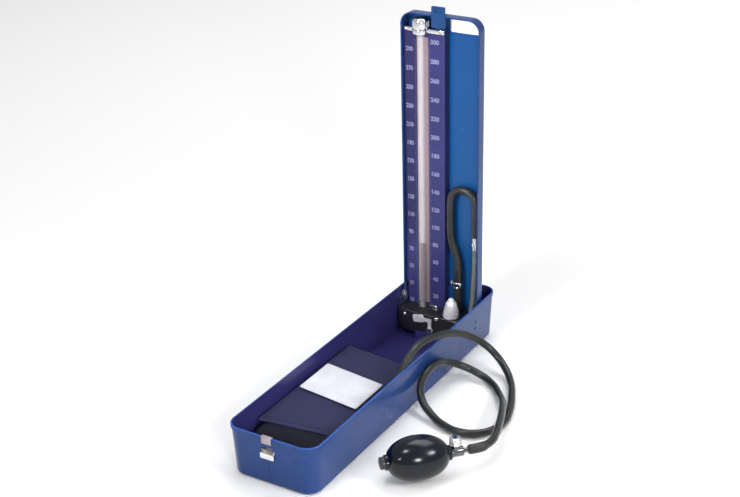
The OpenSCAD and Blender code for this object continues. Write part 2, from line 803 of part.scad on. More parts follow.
// Chrome bar and collar that hold the tube's cap
module top_clamp() {
    color("silver")
    difference() {
        union() {
            block([plate_x0, plate_front - clamp_t, plate_top - clamp_h], [plate_x1, plate_front, plate_top]);
            rod_z(plate_top - clamp_h, plate_top, tube_x, tube_y, collar_r);
        }
        rod_z(plate_top - clamp_h - CUT, plate_top + CUT, tube_x, tube_y, neck_r + 0.02);
        for (x = CLAMP_SCREWS_X)
            rod_y(plate_front - clamp_t - CUT, plate_front + CUT, x, clamp_mid, screw_r);
    }
}

// Screws through the clamp bar
module clamp_screws() {
    color("lightgray")
    for (x = CLAMP_SCREWS_X) {
        rod_y(plate_front - clamp_t, plate_back + 1, x, clamp_mid, screw_r);
        translate([x, plate_front - clamp_t, clamp_mid])
            rotate([90, 0, 0])
                dome_head(1.7, 0.9);
    }
}

// ---------- reservoir ----------

// Outline of the housing from the front, inset all round
module housing_outline(inset) {
    w = housing_x1 - housing_x0;
    h = housing_top - housing_bottom;
    r = housing_corner_r - inset;
    translate([inset, inset + r])
        square([w - 2 * inset, h - 2 * inset - r]);
    translate([inset + r, inset])
        square([w - 2 * inset - r, h - 2 * inset]);
    translate([inset + r, inset + r])
        circle(r);
}

// Black housing over the mercury cup, open towards the lid's back
module reservoir_housing() {
    color([0.13, 0.13, 0.14])
    difference() {
        translate([housing_x0, lid_inner_back, housing_bottom])
            rotate([90, 0, 0])
                linear_extrude(lid_inner_back - housing_y0)
                    housing_outline(0);
        translate([housing_x0, lid_inner_back + CUT, housing_bottom])
            rotate([90, 0, 0])
                linear_extrude(lid_inner_back - housing_y0 + CUT - housing_wall)
                    housing_outline(housing_wall);
        rod_z(housing_top - 4, housing_top + CUT, tube_x, tube_y, tube_r + 0.1);
        rod_z(housing_top - 4, housing_top + CUT, bell_x, bell_y, bell_neck_r + 0.1);
        rod_z(housing_top - 4, housing_top + CUT, nozzle_x, nozzle_y, nozzle_r + 0.05);
        rod_y(housing_y0 - CUT, housing_y0 + 4, cock_x, channel_z, spindle_r + 1);
        for (p = HOUSING_SCREWS)
            rod_y(housing_y0 - CUT, housing_y0 + 4, p[0], p[1], screw_r);
    }
}

// Screws in the housing's front
module housing_screws() {
    color("lightgray")
    for (p = HOUSING_SCREWS) {
        rod_y(housing_y0, housing_y0 + housing_wall + 0.8, p[0], p[1], screw_r);
        translate([p[0], housing_y0, p[1]])
            rotate([90, 0, 0])
                dome_head(2.1, screw_head_h);
    }
}

// Steel block under the glass tube, with its channel
module tube_block() {
    color("gray")
    difference() {
        block([tube_x - block_w / 2, tube_y - block_w / 2, cup_foot],
              [block_x1, tube_y + block_w / 2, housing_top - housing_wall]);
        rod_z(seal_z, housing_top, tube_x, tube_y, tube_r + 0.05);
        rod_z(channel_z, seal_z + CUT, tube_x, tube_y, channel_r);
        rod_x(tube_x, block_x1 + CUT, tube_y, channel_z, channel_r);
    }
}

// Rubber ring under the tube's foot
module tube_seal() {
    color("dimgray")
    difference() {
        rod_z(seal_z, tube_foot, tube_x, tube_y, tube_r);
        rod_z(seal_z - CUT, tube_foot + CUT, tube_x, tube_y, bore_r);
    }
}

// Stopcock barrel between the cup and the tube's block
module cock_body() {
    color("lightgray")
    difference() {
        union() {
            rod_y(housing_y0 + housing_wall, cock_back, cock_x, channel_z, cock_r);
            rod_x(block_x1, cup_x - cup_face, tube_y, channel_z, channel_r + 1);
        }
        rod_y(housing_y0, cock_back - 1, cock_x, channel_z, spindle_r + spindle_clear);
        rod_x(tube_x, cup_x, tube_y, channel_z, channel_r);
    }
}

// Spindle of the stopcock, with its cross hole turned shut
module cock_spindle() {
    color("silver")
    difference() {
        rod_y(lever_y - lever_t - 0.6, cock_back - 1.3, cock_x, channel_z, spindle_r);
        rod_z(channel_z - spindle_r - CUT, channel_z + spindle_r + CUT, cock_x, tube_y, 1.1);
    }
}

// Lever on the spindle, with its chrome thumb pad
module cock_lever() {
    color("silver")
    translate([cock_x, lever_y, channel_z])
        difference() {
            union() {
                rod_y(-lever_t, 0, 0, 0, spindle_r + 1.5);
                block([-lever_w / 2, -lever_t, 0], [lever_w / 2, 0, lever_rise + lever_w / 2]);
                block([-lever_l, -lever_t, lever_rise - lever_w / 2], [0, 0, lever_rise + lever_w / 2]);
                translate([-lever_l, 0, lever_rise])
                    rotate([0, -pad_tilt, 0])
                        block([-pad_w / 2, -lever_t, -pad_h / 2], [pad_w / 2, 0, pad_h / 2]);
            }
            rod_y(-lever_t - CUT, CUT, 0, 0, spindle_r);
        }
}

// Nut on the spindle's end
module cock_nut() {
    color("gray")
    translate([cock_x, lever_y - lever_t - 1.8, channel_z])
        rotate([-90, 0, 0])
            difference() {
                cylinder(h = 1.8, r = 3.2, $fn = 6);
                translate([0, 0, 1.2])
                    cylinder(h = 1.2, r = spindle_r);
            }
}

// Steel cup that holds the mercury
module mercury_cup() {
    color("lightgray")
    difference() {
        rod_z(cup_foot, cup_rim, cup_x, cup_y, cup_r);
        rod_z(cup_foot + cup_wall, cup_rim + CUT, cup_x, cup_y, cup_r - cup_wall);
        rod_x(cup_x - cup_r - CUT, cup_x, tube_y, channel_z, channel_r);
        rod_x(cup_x - cup_r - CUT, cup_x - cup_face, tube_y, channel_z, channel_r + 1);
    }
}

// Mercury in the cup, level with the scale's zero
module mercury_pool() {
    color("gray")
        rod_z(cup_foot + cup_wall, zero_z, cup_x, cup_y, cup_r - cup_wall - mercury_gap);
}

// Lid of the cup, with the arm that carries the air nozzle
module cup_lid() {
    away = unit([nozzle_x - cup_x, nozzle_y - cup_y]);
    port = [cup_x, cup_y] + away * (cup_r - cup_wall - 2);
    color("lightgray")
    difference() {
        union() {
            rod_z(cup_rim, housing_top - housing_wall, cup_x, cup_y, cup_r);
            rod_z(cup_rim, housing_top - housing_wall, nozzle_x, nozzle_y, nozzle_r + 1);
        }
        rod_z(cup_rim - CUT, housing_top, bell_x, bell_y, bell_neck_r + 0.02);
        rod_z(cup_rim + 0.6, housing_top, nozzle_x, nozzle_y, nozzle_r + 0.02);
        rod_z(cup_rim - CUT, cup_rim + 1.6, port[0], port[1], 1);
        translate([port[0], port[1], cup_rim + 1.4])
            rotate([0, 0, atan2(away[1], away[0])])
                rotate([0, 90, 0])
                    cylinder(h = norm([nozzle_x, nozzle_y] - port), r = 0.7);
    }
}

// Chrome bell-shaped cap that closes the cup
module bell_cap() {
    waist_r = 3.2;
    shoulder_z = bell_h - 3;
    color("silver")
    translate([bell_x, bell_y, housing_top]) {
        rotate_extrude()
            polygon([[0, 0], [bell_r, 0], [bell_r, 2], [bell_r - 0.3, 5], [bell_r - 1.7, 11],
                     [bell_r - 3.1, shoulder_z - 2], [waist_r, shoulder_z], [waist_r - 0.5, bell_h - 1],
                     [waist_r - 1.6, bell_h], [0, bell_h]]);
        translate([0, 0, cup_rim - housing_top])
            cylinder(h = housing_top - cup_rim, r = bell_neck_r);
    }
}

// Metal nozzle on the housing's top
module air_nozzle() {
    foot = cup_rim + 0.6;
    tip = housing_top + nozzle_foot + nozzle_l;
    color("silver")
    difference() {
        union() {
            rod_z(foot, tip, nozzle_x, nozzle_y, nozzle_r);
            rod_z(housing_top, housing_top + nozzle_foot, nozzle_x, nozzle_y, sleeve_r);
        }
        rod_z(foot - CUT, tip + CUT, nozzle_x, nozzle_y, 1);
    }
}

// Black rubber sleeve on the nozzle
module nozzle_sleeve() {
    color([0.1, 0.1, 0.11])
    difference() {
        rod_z(housing_top + nozzle_foot, sleeve_top, nozzle_x, nozzle_y, sleeve_r);
        rod_z(housing_top, sleeve_top + CUT, nozzle_x, nozzle_y, nozzle_r);
    }
}

// Bright clip around the sleeve
module sleeve_band() {
    color("silver")
    difference() {
        union() {
            rod_z(band_z, band_z + band_h, nozzle_x, nozzle_y, sleeve_r + 0.8);
            block([nozzle_x - sleeve_r - 4.5, nozzle_y - 1.4, band_z + 0.8],
                  [nozzle_x, nozzle_y + 1.4, band_z + band_h - 0.8]);
        }
        rod_z(band_z - CUT, band_z + band_h + CUT, nozzle_x, nozzle_y, sleeve_r);
    }
}

// Rubber loop from the nozzle to the connector
module loop_hose() {
    color([0.1, 0.1, 0.11])
        hose([for (p = LOOP) p + [lid_inner, pivot_y, 0]], loop_r, 3, 12);
}

// Metal connector between the loop and the line to the cuff
module line_connector() {
    color("silver")
    difference() {
        union() {
            rod_z(link_z, link_z + link_l, link_x, link_y, line_r + 0.2);
            rod_z(link_z + 5, link_z + 8.5, link_x, link_y, line_r + 1.1);
        }
        rod_z(link_z - CUT, link_z + link_l + CUT, link_x, link_y, 1.4);
    }
}

// Line from the connector, past the hinge and along the wall, to the cuff
module cuff_line() {
    color([0.25, 0.25, 0.24])
        hose(LINE, line_r, 2, 10);
}

// ---------- cuff ----------

// Space of the bladder, with a gap all round
module bladder_block(gap) {
    block([cuff_x - bladder_w / 2 - gap, bladder_y0 - gap, bladder_z0 - gap],
          [cuff_x + bladder_w / 2 + gap, bladder_y0 + bladder_l + gap, bladder_z0 + bladder_t + gap]);
}

// Places a shape on the cuff's slanting top, from its left edge
module on_cuff_top() {
    translate([cuff_x - cuff_w / 2, 0, cuff_top])
        rotate([0, cuff_slant, 0])
            children();
}

// Rolled cuff, closed round the pocket of its bladder
module cuff() {
    r = cuff_h / 2 - 3;
    color([0.13, 0.13, 0.2])
    difference() {
        translate([cuff_x - cuff_w / 2, (cuff_y0 + cuff_y1) / 2, cuff_z0 + cuff_h / 2])
            rotate([90, 0, 90])
                linear_extrude(cuff_w)
                    round_rect(cuff_l, cuff_h, r);
        on_cuff_top()
            block([-cuff_w / 4, cuff_y0 - 1, 0], [cuff_w * 5 / 4, cuff_y1 + 1, cuff_h]);
        bladder_block(pocket_gap);
    }
}

// Rubber bladder inside the cuff
module cuff_bladder() {
    color("dimgray")
        bladder_block(0);
}

// Bare white label sewn on the cuff
module cuff_label() {
    color("white")
        on_cuff_top()
            block([label_inset, label_y - label_l / 2, 0],
                  [label_inset + label_w, label_y + label_l / 2, label_t]);
}

// Hose from the cuff to the release valve
module bulb_hose() {
    color([0.1, 0.1, 0.11])
        hose(HOSE, hose_r, 2, 12);
}

// ---------- bulb ----------

// Places a shape modelled along +X from the bulb's middle
module on_bulb() {
    translate([bulb_x, bulb_y, bulb_r])
        rotate([0, 0, bulb_turn])
            children();
}

// Outline of the bulb, half section
module bulb_half(inset) {
    r = bulb_r - inset;
    l = bulb_l / 2 - inset;
    waist = l - r;
    intersection() {
        union() {
            translate([0, waist])
                circle(r);
            translate([0, -waist])
                circle(r);
            square([2 * r, 2 * waist], center = true);
        }
        translate([0, -l])
            square([r, 2 * l]);
    }
}

// Hollow rubber bulb
module bulb() {
    color([0.08, 0.08, 0.09])
    on_bulb()
        rotate([0, 90, 0])
            difference() {
                union() {
                    rotate_extrude($fn = 72)
                        bulb_half(0);
                    translate([0, 0, -bulb_end])
                        cylinder(h = 2 * bulb_end, r = bulb_neck_r);
                }
                rotate_extrude($fn = 72)
                    bulb_half(bulb_wall);
                translate([0, 0, -bulb_l])
                    cylinder(h = 2 * bulb_l, r = bulb_bore_r);
            }
}

// Plug with the air inlet at the bulb's free end
module inlet_valve() {
    color([0.2, 0.2, 0.22])
    on_bulb()
        rotate([0, -90, 0])
            difference() {
                union() {
                    translate([0, 0, bulb_end - 7.5])
                        cylinder(h = 7.5, r = bulb_bore_r);
                    translate([0, 0, bulb_end])
                        cylinder(h = 4.5, r = bulb_neck_r - 0.4);
                }
                translate([0, 0, bulb_end - 9])
                    cylinder(h = 16, r = 1);
                translate([0, 0, bulb_end - 9])
                    cylinder(h = 4, r = 3.2);
            }
}

// Rubber flap that closes the inlet when the bulb is squeezed
module inlet_disc() {
    color("dimgray")
    on_bulb()
        rotate([0, -90, 0])
            translate([0, 0, bulb_end - 6])
                cylinder(h = 1, r = 3);
}

// Barrel of the release valve, with its nipple for the hose
module valve_body() {
    color("silver")
    on_bulb()
        difference() {
            union() {
                rod_x(bulb_end - 7.5, bulb_end, 0, 0, bulb_bore_r);
                rod_x(bulb_end, valve_end, 0, 0, valve_r);
                rod_x(valve_end, nipple_end, 0, 0, 2.2);
                rod_z(0, valve_r + boss_rise, valve_x, 0, 3.6);
            }
            rod_x(bulb_end - 9, nipple_end + CUT, 0, 0, 0.9);
            rod_z(0.5, valve_r + boss_rise + CUT, valve_x, 0, screw_shaft_r + 0.05);
        }
}

// Screw that lets the air out
module release_screw() {
    color("lightgray")
    on_bulb() {
        rod_z(2.2, knob_z + 0.2 + knob_h / 2, valve_x, 0, screw_shaft_r);
        translate([valve_x, 0, 1.2])
            cylinder(h = 1, r1 = 0.4, r2 = screw_shaft_r);
    }
}

// Knurled knob on the release screw
module release_knob() {
    color("silver")
    on_bulb()
        translate([valve_x, 0, knob_z])
            difference() {
                union() {
                    cylinder(h = knob_h - 1, r = knob_r);
                    translate([0, 0, knob_h - 1])
                        cylinder(h = 1, r1 = knob_r, r2 = knob_r - 1);
                }
                for (a = [0 : 360 / KNURLS : 359])
                    rotate([0, 0, a])
                        translate([knob_r + 0.3, 0, -CUT])
                            cylinder(h = knob_h + 2 * CUT, r = 0.6, $fn = 4);
                translate([0, 0, -CUT])
                    cylinder(h = CUT + 0.2 + knob_h / 2, r = screw_shaft_r);
            }
}

tray_shell();
hinge_ears();
ear_rivets();
pivot_pins();
lid_stop();
keeper_clip();
latch_button();
latch_hook();
latch_guide();
latch_spring();
lid_shell();
hinge_plates();
plate_rivets();
lid_tongue();
tongue_rivets();
name_plate();
scale_plate();
tube_backing();
glass_tube();
mercury_column();
tube_cap();
cap_seal();
vent_filter();
top_clamp();
clamp_screws();
reservoir_housing();
housing_screws();
tube_block();
tube_seal();
cock_body();
cock_spindle();
cock_lever();
cock_nut();
mercury_cup();
mercury_pool();
cup_lid();
bell_cap();
air_nozzle();
nozzle_sleeve();
sleeve_band();
loop_hose();
line_connector();
cuff_line();
cuff();
cuff_bladder();
cuff_label();
bulb_hose();
bulb();
inlet_valve();
inlet_disc();
valve_body();
release_screw();
release_knob();
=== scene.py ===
"""Looks of a mercury sphygmomanometer in its folding metal case.

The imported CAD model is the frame. Sizes here are in millimetres, in the frame's axes: +Z up,
+Y from the latch end of the tray to the lid end, +X to the right of someone facing the scale.
"""

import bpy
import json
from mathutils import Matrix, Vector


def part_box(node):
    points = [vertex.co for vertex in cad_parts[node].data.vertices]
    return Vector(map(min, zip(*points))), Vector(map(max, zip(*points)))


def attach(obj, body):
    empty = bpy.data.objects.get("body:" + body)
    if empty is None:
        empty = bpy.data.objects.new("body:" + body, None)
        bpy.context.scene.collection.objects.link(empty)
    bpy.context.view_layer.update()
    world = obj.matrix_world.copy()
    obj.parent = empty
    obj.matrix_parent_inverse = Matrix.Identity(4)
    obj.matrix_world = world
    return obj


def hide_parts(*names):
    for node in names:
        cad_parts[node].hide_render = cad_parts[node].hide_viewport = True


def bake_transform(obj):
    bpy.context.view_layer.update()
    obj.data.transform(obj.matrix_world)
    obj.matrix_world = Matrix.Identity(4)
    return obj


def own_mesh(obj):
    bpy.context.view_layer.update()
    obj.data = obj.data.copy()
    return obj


bl_info = {
    "name": "Mercury sphygmomanometer",
    "version": (1, 0, 0),
    "blender": (4, 5, 0),
    "location": "View3D > Sidebar > Gauge",
    "description": "Models and finishes a mercury sphygmomanometer over its packed frame",
    "category": "Object",
}

import json
import math
import random

import bmesh
import bpy
from mathutils import Matrix, Vector, noise

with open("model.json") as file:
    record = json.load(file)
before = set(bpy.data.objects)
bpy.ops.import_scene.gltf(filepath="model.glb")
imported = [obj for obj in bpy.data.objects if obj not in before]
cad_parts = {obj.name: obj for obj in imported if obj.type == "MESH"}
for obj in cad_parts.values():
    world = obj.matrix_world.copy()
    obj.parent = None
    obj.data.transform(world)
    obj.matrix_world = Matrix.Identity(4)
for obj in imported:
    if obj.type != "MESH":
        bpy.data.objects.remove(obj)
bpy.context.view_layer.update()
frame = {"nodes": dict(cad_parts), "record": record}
CAD = frame["nodes"]
MM = 0.001


# ---------- modelling by hand ----------


def share(value):
    """A value held between 0 and 1."""
    return max(0.0, min(1.0, value))


def mm(*point):
    """A point given in millimetres."""
    return Vector(point) * MM


def activate(obj):
    """Selects this object alone, in object mode."""
    if bpy.context.mode != "OBJECT":
        bpy.ops.object.mode_set(mode="OBJECT")
    bpy.ops.object.select_all(action="DESELECT")
    obj.select_set(True)
    bpy.context.view_layer.objects.active = obj
    return obj


def free():
    """Leaves edit mode and deselects everything, ready for a new primitive."""
    if bpy.context.mode != "OBJECT":
        bpy.ops.object.mode_set(mode="OBJECT")
    bpy.ops.object.select_all(action="DESELECT")


def settle(obj, name=None):
    """Puts the object's place, turn and size into its mesh."""
    activate(obj)
    bpy.ops.object.transform_apply(location=True, rotation=True, scale=True)
    if name:
        obj.name = name
    return obj


class Editing:
    """Edit mode on one object, with vertices, edges or faces picked by a test."""

    def __init__(self, obj):
        self.obj = obj

    def __enter__(self):
        activate(self.obj)
        bpy.ops.object.mode_set(mode="EDIT")
        return self

    def __exit__(self, *args):
        bpy.ops.object.mode_set(mode="OBJECT")

    def pick(self, kind, test):
        bpy.ops.mesh.select_mode(type=kind)
        bpy.ops.mesh.select_all(action="DESELECT")
        mesh = bmesh.from_edit_mesh(self.obj.data)
        for item in {"VERT": mesh.verts, "EDGE": mesh.edges, "FACE": mesh.faces}[kind]:
            if test(item):
                item.select_set(True)
        mesh.select_flush_mode()
        bmesh.update_edit_mesh(self.obj.data)

    def verts(self, test):
        self.pick("VERT", test)

    def edges(self, test):
        self.pick("EDGE", test)

    def faces(self, test):
        self.pick("FACE", test)

    def everything(self):
        bpy.ops.mesh.select_all(action="SELECT")

    def bevel(self, radius, segments):
        """Rounds the picked edges, with a radius in millimetres."""
        bpy.ops.mesh.bevel(offset=radius * MM, segments=segments, affect="EDGES")

    def remove(self, test):
        """Deletes the faces that pass a test."""
        self.faces(test)
        bpy.ops.mesh.delete(type="FACE")


def span(edge):
    """Direction of an edge."""
    return (edge.verts[1].co - edge.verts[0].co).normalized()


def middle(edge):
    return (edge.verts[1].co + edge.verts[0].co) / 2


def running(axis):
    """Test for the edges that lie along an axis."""
    return lambda edge: abs(getattr(span(edge), axis)) > 0.9


def corners(node):
    """Lowest and highest corner of a CAD node, in millimetres."""
    return [Vector(corner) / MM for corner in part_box(node)]


def modify(obj, kind, **settings):
    """Adds a modifier and applies it."""
    activate(obj)
    modifier = obj.modifiers.new(kind.title(), kind)
    for key, value in settings.items():
        setattr(modifier, key, value)
    bpy.ops.object.modifier_apply(modifier=modifier.name)
    return obj


def walled(obj, thickness):
    """Gives an open shell its wall, inwards from its faces."""
    return modify(obj, "SOLIDIFY", thickness=thickness * MM, offset=-1, use_even_offset=True)


def softened(obj, width, segments=3, angle=0.9):
    """Rounds every edge that is sharper than an angle in radians."""
    return modify(obj, "BEVEL", width=width * MM, segments=segments, limit_method="ANGLE",
                  angle_limit=angle)


def row(obj, count, step):
    """Repeats a shape, each time a step in metres further."""
    return modify(obj, "ARRAY", count=count, use_relative_offset=False, use_constant_offset=True,
                  constant_offset_displace=step)


def smooth(obj, angle=35):
    activate(obj)
    bpy.ops.object.shade_smooth_by_angle(angle=math.radians(angle))
    return obj


def outward(obj):
    with Editing(obj) as edit:
        edit.everything()
        bpy.ops.mesh.remove_doubles(threshold=1e-6)
        bpy.ops.mesh.normals_make_consistent(inside=False)
    return obj


def block(name, low, high):
    """Box between two corners, in millimetres."""
    low, high = mm(*low), mm(*high)
    free()
    bpy.ops.mesh.primitive_cube_add(size=1, location=(low + high) / 2)
    obj = bpy.context.object
    obj.scale = high - low
    return settle(obj, name)


def eased_block(name, low, high, radius, segments=3):
    """Box with all its edges rounded."""
    obj = block(name, low, high)
    with Editing(obj) as edit:
        edit.everything()
        edit.bevel(radius, segments)
    return smooth(obj)


def rounded(obj, test, radius, segments=5):
    """Rounds the edges that pass a test."""
    with Editing(obj) as edit:
        edit.edges(test)
        edit.bevel(radius, segments)
    return obj


def slab(name, low, high, axis, radius, segments=5):
    """Box whose edges along one axis are rounded."""
    return rounded(block(name, low, high), running(axis), radius, segments)


def rim(name, low, high, axis, radius, thickness, ease):
    """Band of sheet round a rounded outline, open along the axis, with eased edges."""
    obj = slab(name, low, high, axis, radius, 10)
    with Editing(obj) as edit:
        edit.remove(lambda f: abs(getattr(f.normal, axis)) > 0.9)
    return softened(walled(obj, thickness), ease, 4, 1)


def rod(name, start, end, radius, sides=48):
    """Round bar between two points, in millimetres."""
    start, end = mm(*start), mm(*end)
    axis = end - start
    free()
    bpy.ops.mesh.primitive_cone_add(
        vertices=sides, radius1=radius * MM, radius2=radius * MM, depth=axis.length,
        location=(start + end) / 2,
        rotation=axis.to_track_quat("Z", "Y").to_euler())
    return settle(bpy.context.object, name)


def eased_rod(name, start, end, radius, ease=0.3, sides=48, segments=3):
    """Round bar with its rims rounded."""
    obj = rod(name, start, end, radius, sides=sides)
    axis = (mm(*end) - mm(*start)).normalized()
    rounded(obj, lambda e: abs(span(e).dot(axis)) < 0.5, ease, segments)
    return smooth(obj)


def pencil(place):
    """One vertex at a place, in edit mode, ready to be extruded."""
    free()
    bpy.ops.mesh.primitive_plane_add(size=MM)
    bpy.ops.object.mode_set(mode="EDIT")
    bpy.ops.mesh.select_mode(type="VERT")
    bpy.ops.mesh.select_all(action="SELECT")
    bpy.ops.mesh.merge(type="CENTER")
    bpy.ops.transform.translate(value=mm(*place))
    return bpy.context.object


def trace(points):
    """Extrudes what is picked from point to point, then picks everything."""
    for before, after in zip(points, points[1:]):
        bpy.ops.mesh.extrude_region_move(TRANSFORM_OT_translate={"value": mm(*after) - mm(*before)})
    bpy.ops.mesh.select_all(action="SELECT")


def turned(name, profile, origin, axis=(0, 0, 1), steps=64):
    """Shape turned on a lathe: profile points are (radius, height) in millimetres."""
    points = [(radius, 0, height) for radius, height in profile]
    obj = pencil(points[0])
    trace(points)
    bpy.ops.mesh.spin(steps=steps, angle=math.tau, center=(0, 0, 0), axis=(0, 0, 1))
    bpy.ops.object.mode_set(mode="OBJECT")
    outward(obj)
    turn = Vector(axis).to_track_quat("Z", "Y").to_matrix().to_4x4()
    obj.matrix_world = Matrix.Translation(mm(*origin)) @ turn
    return smooth(settle(obj, name))


def cut(obj, *tools):
    """Takes tools out of an object and deletes them."""
    for tool in tools:
        modify(obj, "BOOLEAN", operation="DIFFERENCE", solver="EXACT", object=tool)
        bpy.data.objects.remove(tool)
    return obj


def join(name, objs):
    """Makes several objects one."""
    free()
    for obj in objs:
        obj.select_set(True)
    bpy.context.view_layer.objects.active = objs[0]
    if len(objs) > 1:
        bpy.ops.object.join()
    objs[0].name = name
    return objs[0]


def copied(obj, matrix):
    """Copy with its own mesh, moved by a matrix."""
    twin = obj.copy()
    twin.data = obj.data.copy()
    bpy.context.scene.collection.objects.link(twin)
    twin.matrix_world = matrix @ twin.matrix_world
    return settle(twin)


def teeth(tooth, centre, count):
    """Copies of one tooth round an upright axis."""
    made = [copied(tooth, Matrix.Translation(mm(*centre)) @ Matrix.Rotation(
        k * math.tau / count, 4, "Z")) for k in range(count)]
    bpy.data.objects.remove(tooth)
    return made


def bent_tube(name, route, radius, solid=True, swell=()):
    """Smooth round tube along points in millimetres, as a curve of one spline.

    swell gives each point's share of the radius where the tube tapers.
    """
    free()
    bpy.ops.curve.primitive_bezier_curve_add(location=(0, 0, 0))
    obj = bpy.context.object
    obj.name = name
    spline = obj.data.splines[0]
    spline.bezier_points.add(len(route) - 2)
    for point, place in zip(spline.bezier_points, route):
        point.co = mm(*place)
        point.handle_left_type = point.handle_right_type = "AUTO"
    for point, share in zip(spline.bezier_points, swell):
        point.radius = share
    obj.data.dimensions = "3D"
    obj.data.resolution_u = 8
    obj.data.bevel_depth = radius * MM
    obj.data.bevel_resolution = 7
    obj.data.use_fill_caps = True
    if solid:
        activate(obj)
        bpy.ops.object.convert(target="MESH")
        obj = smooth(bpy.context.object, 60)
        obj.name = name
    return obj


# ---------- finishes ----------


class Value:
    """A shader socket that takes part in ordinary arithmetic."""

    def __init__(self, finish, socket):
        self.finish, self.socket = finish, socket

    def operation(kind, swapped=False):
        def act(self, *others):
            items = (*others, self) if swapped else (self, *others)
            return self.finish.node("ShaderNodeMath", {"operation": kind}, items)
        return act

    __add__ = __radd__ = operation("ADD")
    __mul__ = __rmul__ = operation("MULTIPLY")
    __sub__, __rsub__ = operation("SUBTRACT"), operation("SUBTRACT", swapped=True)
    __abs__, sin = operation("ABSOLUTE"), operation("SINE")


class Finish:
    """A material in the making."""

    def __init__(self, name, colour, roughness=0.5, **sockets):
        self.material = bpy.data.materials.new(name)
        self.material.use_nodes = True
        self.material.diffuse_color = (*colour, 1)
        self.tree = self.material.node_tree
        self.shader = self.tree.nodes["Principled BSDF"]
        self.feed("Base Color", (*colour, 1))
        self.feed("Roughness", roughness)
        for key, value in sockets.items():
            self.feed(key.replace("_", " "), value)
        self.where = self.node("ShaderNodeTexCoord", output="Object")

    def feed(self, socket, value):
        """Sets a socket of the shader, or links a value to it."""
        self.put(self.shader.inputs[socket], value)

    def put(self, socket, value):
        if isinstance(value, Value):
            self.tree.links.new(value.socket, socket)
        else:
            socket.default_value = value

    def node(self, kind, settings=None, inputs=(), output=0):
        """Adds a node: its settings first, then the values or links of its sockets."""
        node = self.tree.nodes.new(kind)
        for key, value in (settings or {}).items():
            setattr(node, key, value)
        pairs = inputs.items() if isinstance(inputs, dict) else enumerate(inputs)
        for key, value in pairs:
            self.put(node.inputs[key], value)
        return Value(self, node.outputs[output])

    def noise(self, scale, detail=2, roughness=0.5, where=None):
        return self.node("ShaderNodeTexNoise", {}, {
            "Vector": where or self.where, "Scale": scale, "Detail": detail, "Roughness": roughness})

    def painted(self, name):
        """Share that a piece's own attribute gives to each face."""
        return self.node("ShaderNodeAttribute", {"attribute_name": name}, output="Fac")

    def stretch(self, x, y, z):
        """Object coordinates stretched along the axes."""
        return self.node("ShaderNodeVectorMath", {"operation": "MULTIPLY"}, [self.where, (x, y, z)])

    def axes(self, where=None):
        split = self.node("ShaderNodeSeparateXYZ", {}, [where or self.where]).socket.node
        return [Value(self, socket) for socket in split.outputs]

    def mix(self, factor, first, second):
        """Colour between two colours."""
        return self.node("ShaderNodeMix", {"data_type": "RGBA"}, {0: factor, 6: first, 7: second}, 2)

    def band(self, value, low, high):
        """0 below low and 1 above high, eased between."""
        return self.node("ShaderNodeMapRange", {"interpolation_type": "SMOOTHSTEP"},
                         [value, low, high, 0.0, 1.0])

    def bump(self, height, strength, distance=1.0):
        self.feed("Normal", self.node("ShaderNodeBump", {}, {
            "Strength": strength, "Distance": distance * MM, "Height": height}))


def shade(colour, factor):
    return tuple(min(1.0, c * factor) for c in colour[:3]) + (1,)


def enamel(name, colour, roughness=0.2, inside=None, dim=None):
    """Stoved enamel on pressed sheet: slight orange peel, cloudy gloss, paler rubbed spots.

    The last argument gives the share of painted shade, a darker colour, from the finish.
    """
    f = Finish(name, colour, roughness, Coat_Roughness=0.06, Specular_IOR_Level=0.12)
    cloud = f.band(f.noise(14, 3), 0.3, 0.7)
    rub = f.band(f.noise(90, 5, 0.65), 0.64, 0.8)
    tint = f.mix(cloud, shade(colour, 0.9), shade(colour, 1.1))
    if inside:
        # inside faces take the inside colour: painted shade in the tray, painted light on the lid
        tint = f.mix(f.painted("inside"), tint, (*inside, 1))
        # painted highlight mixed with rubbed wear: a much paler colour on the marked rim top
        tint = f.mix(f.painted("worn") * (0.35 + rub * 0.4), tint, shade(colour, 3.5))
    if dim:
        # painted shade: darker colour wherever the finish gives it a share
        tint = f.mix(dim(f), tint, shade(colour, 0.45))
    f.feed("Base Color", f.mix(rub * 0.2, tint, shade(colour, 1.5)))
    f.feed("Roughness", roughness + cloud * 0.08 + rub * 0.12)
    f.feed("Coat Weight", 0.2 - rub * 0.12)
    f.bump(f.noise(420, 2), 0.08, 0.12)
    return f.material


def left_column(f):
    """Share of painted shade on the upper part of the scale's left column, where the ground is
    painted darker.
    """
    x, y, z = f.axes()
    return (1 - f.band(x, -0.024, -0.018)) * f.band(z, 0.09, 0.13) * 0.6


def chrome(name, colour=(0.8, 0.8, 0.81), roughness=0.07, metal=1.0):
    """Bright plating with faint smears."""
    f = Finish(name, colour, roughness, Metallic=metal)
    smear = f.band(f.noise(160, 4, 0.6), 0.45, 0.75)
    f.feed("Roughness", roughness + smear * 0.13)
    f.feed("Base Color", f.mix(smear, (*colour, 1), shade(colour, 0.88)))
    f.bump(f.noise(900, 2), 0.03, 0.05)
    return f.material


def zinc(name, colour=(0.56, 0.56, 0.55)):
    """Dull plated steel with a rolled grain."""
    f = Finish(name, colour, 0.35, Metallic=1.0)
    grain = f.noise(500, 3, where=f.stretch(1, 0.06, 1))
    patch = f.noise(60, 4)
    f.feed("Base Color", f.mix(patch, shade(colour, 0.75), shade(colour, 1.15)))
    f.feed("Roughness", 0.26 + grain * 0.2)
    f.bump(grain, 0.1, 0.05)
    return f.material


def rubber(name, colour, roughness=0.4, coat=0.0, grain=0.12):
    """Moulded rubber with a fine bloom."""
    f = Finish(name, colour, roughness, Coat_Roughness=0.1, Specular_IOR_Level=0.3)
    bloom = f.band(f.noise(45, 4, 0.6), 0.4, 0.75)
    f.feed("Base Color", f.mix(bloom, (*colour, 1), shade(colour, 1.7)))
    f.feed("Roughness", roughness + bloom * 0.12)
    f.feed("Coat Weight", coat - bloom * coat * 0.4)
    f.bump(f.noise(700, 3), grain, 0.06)
    return f.material


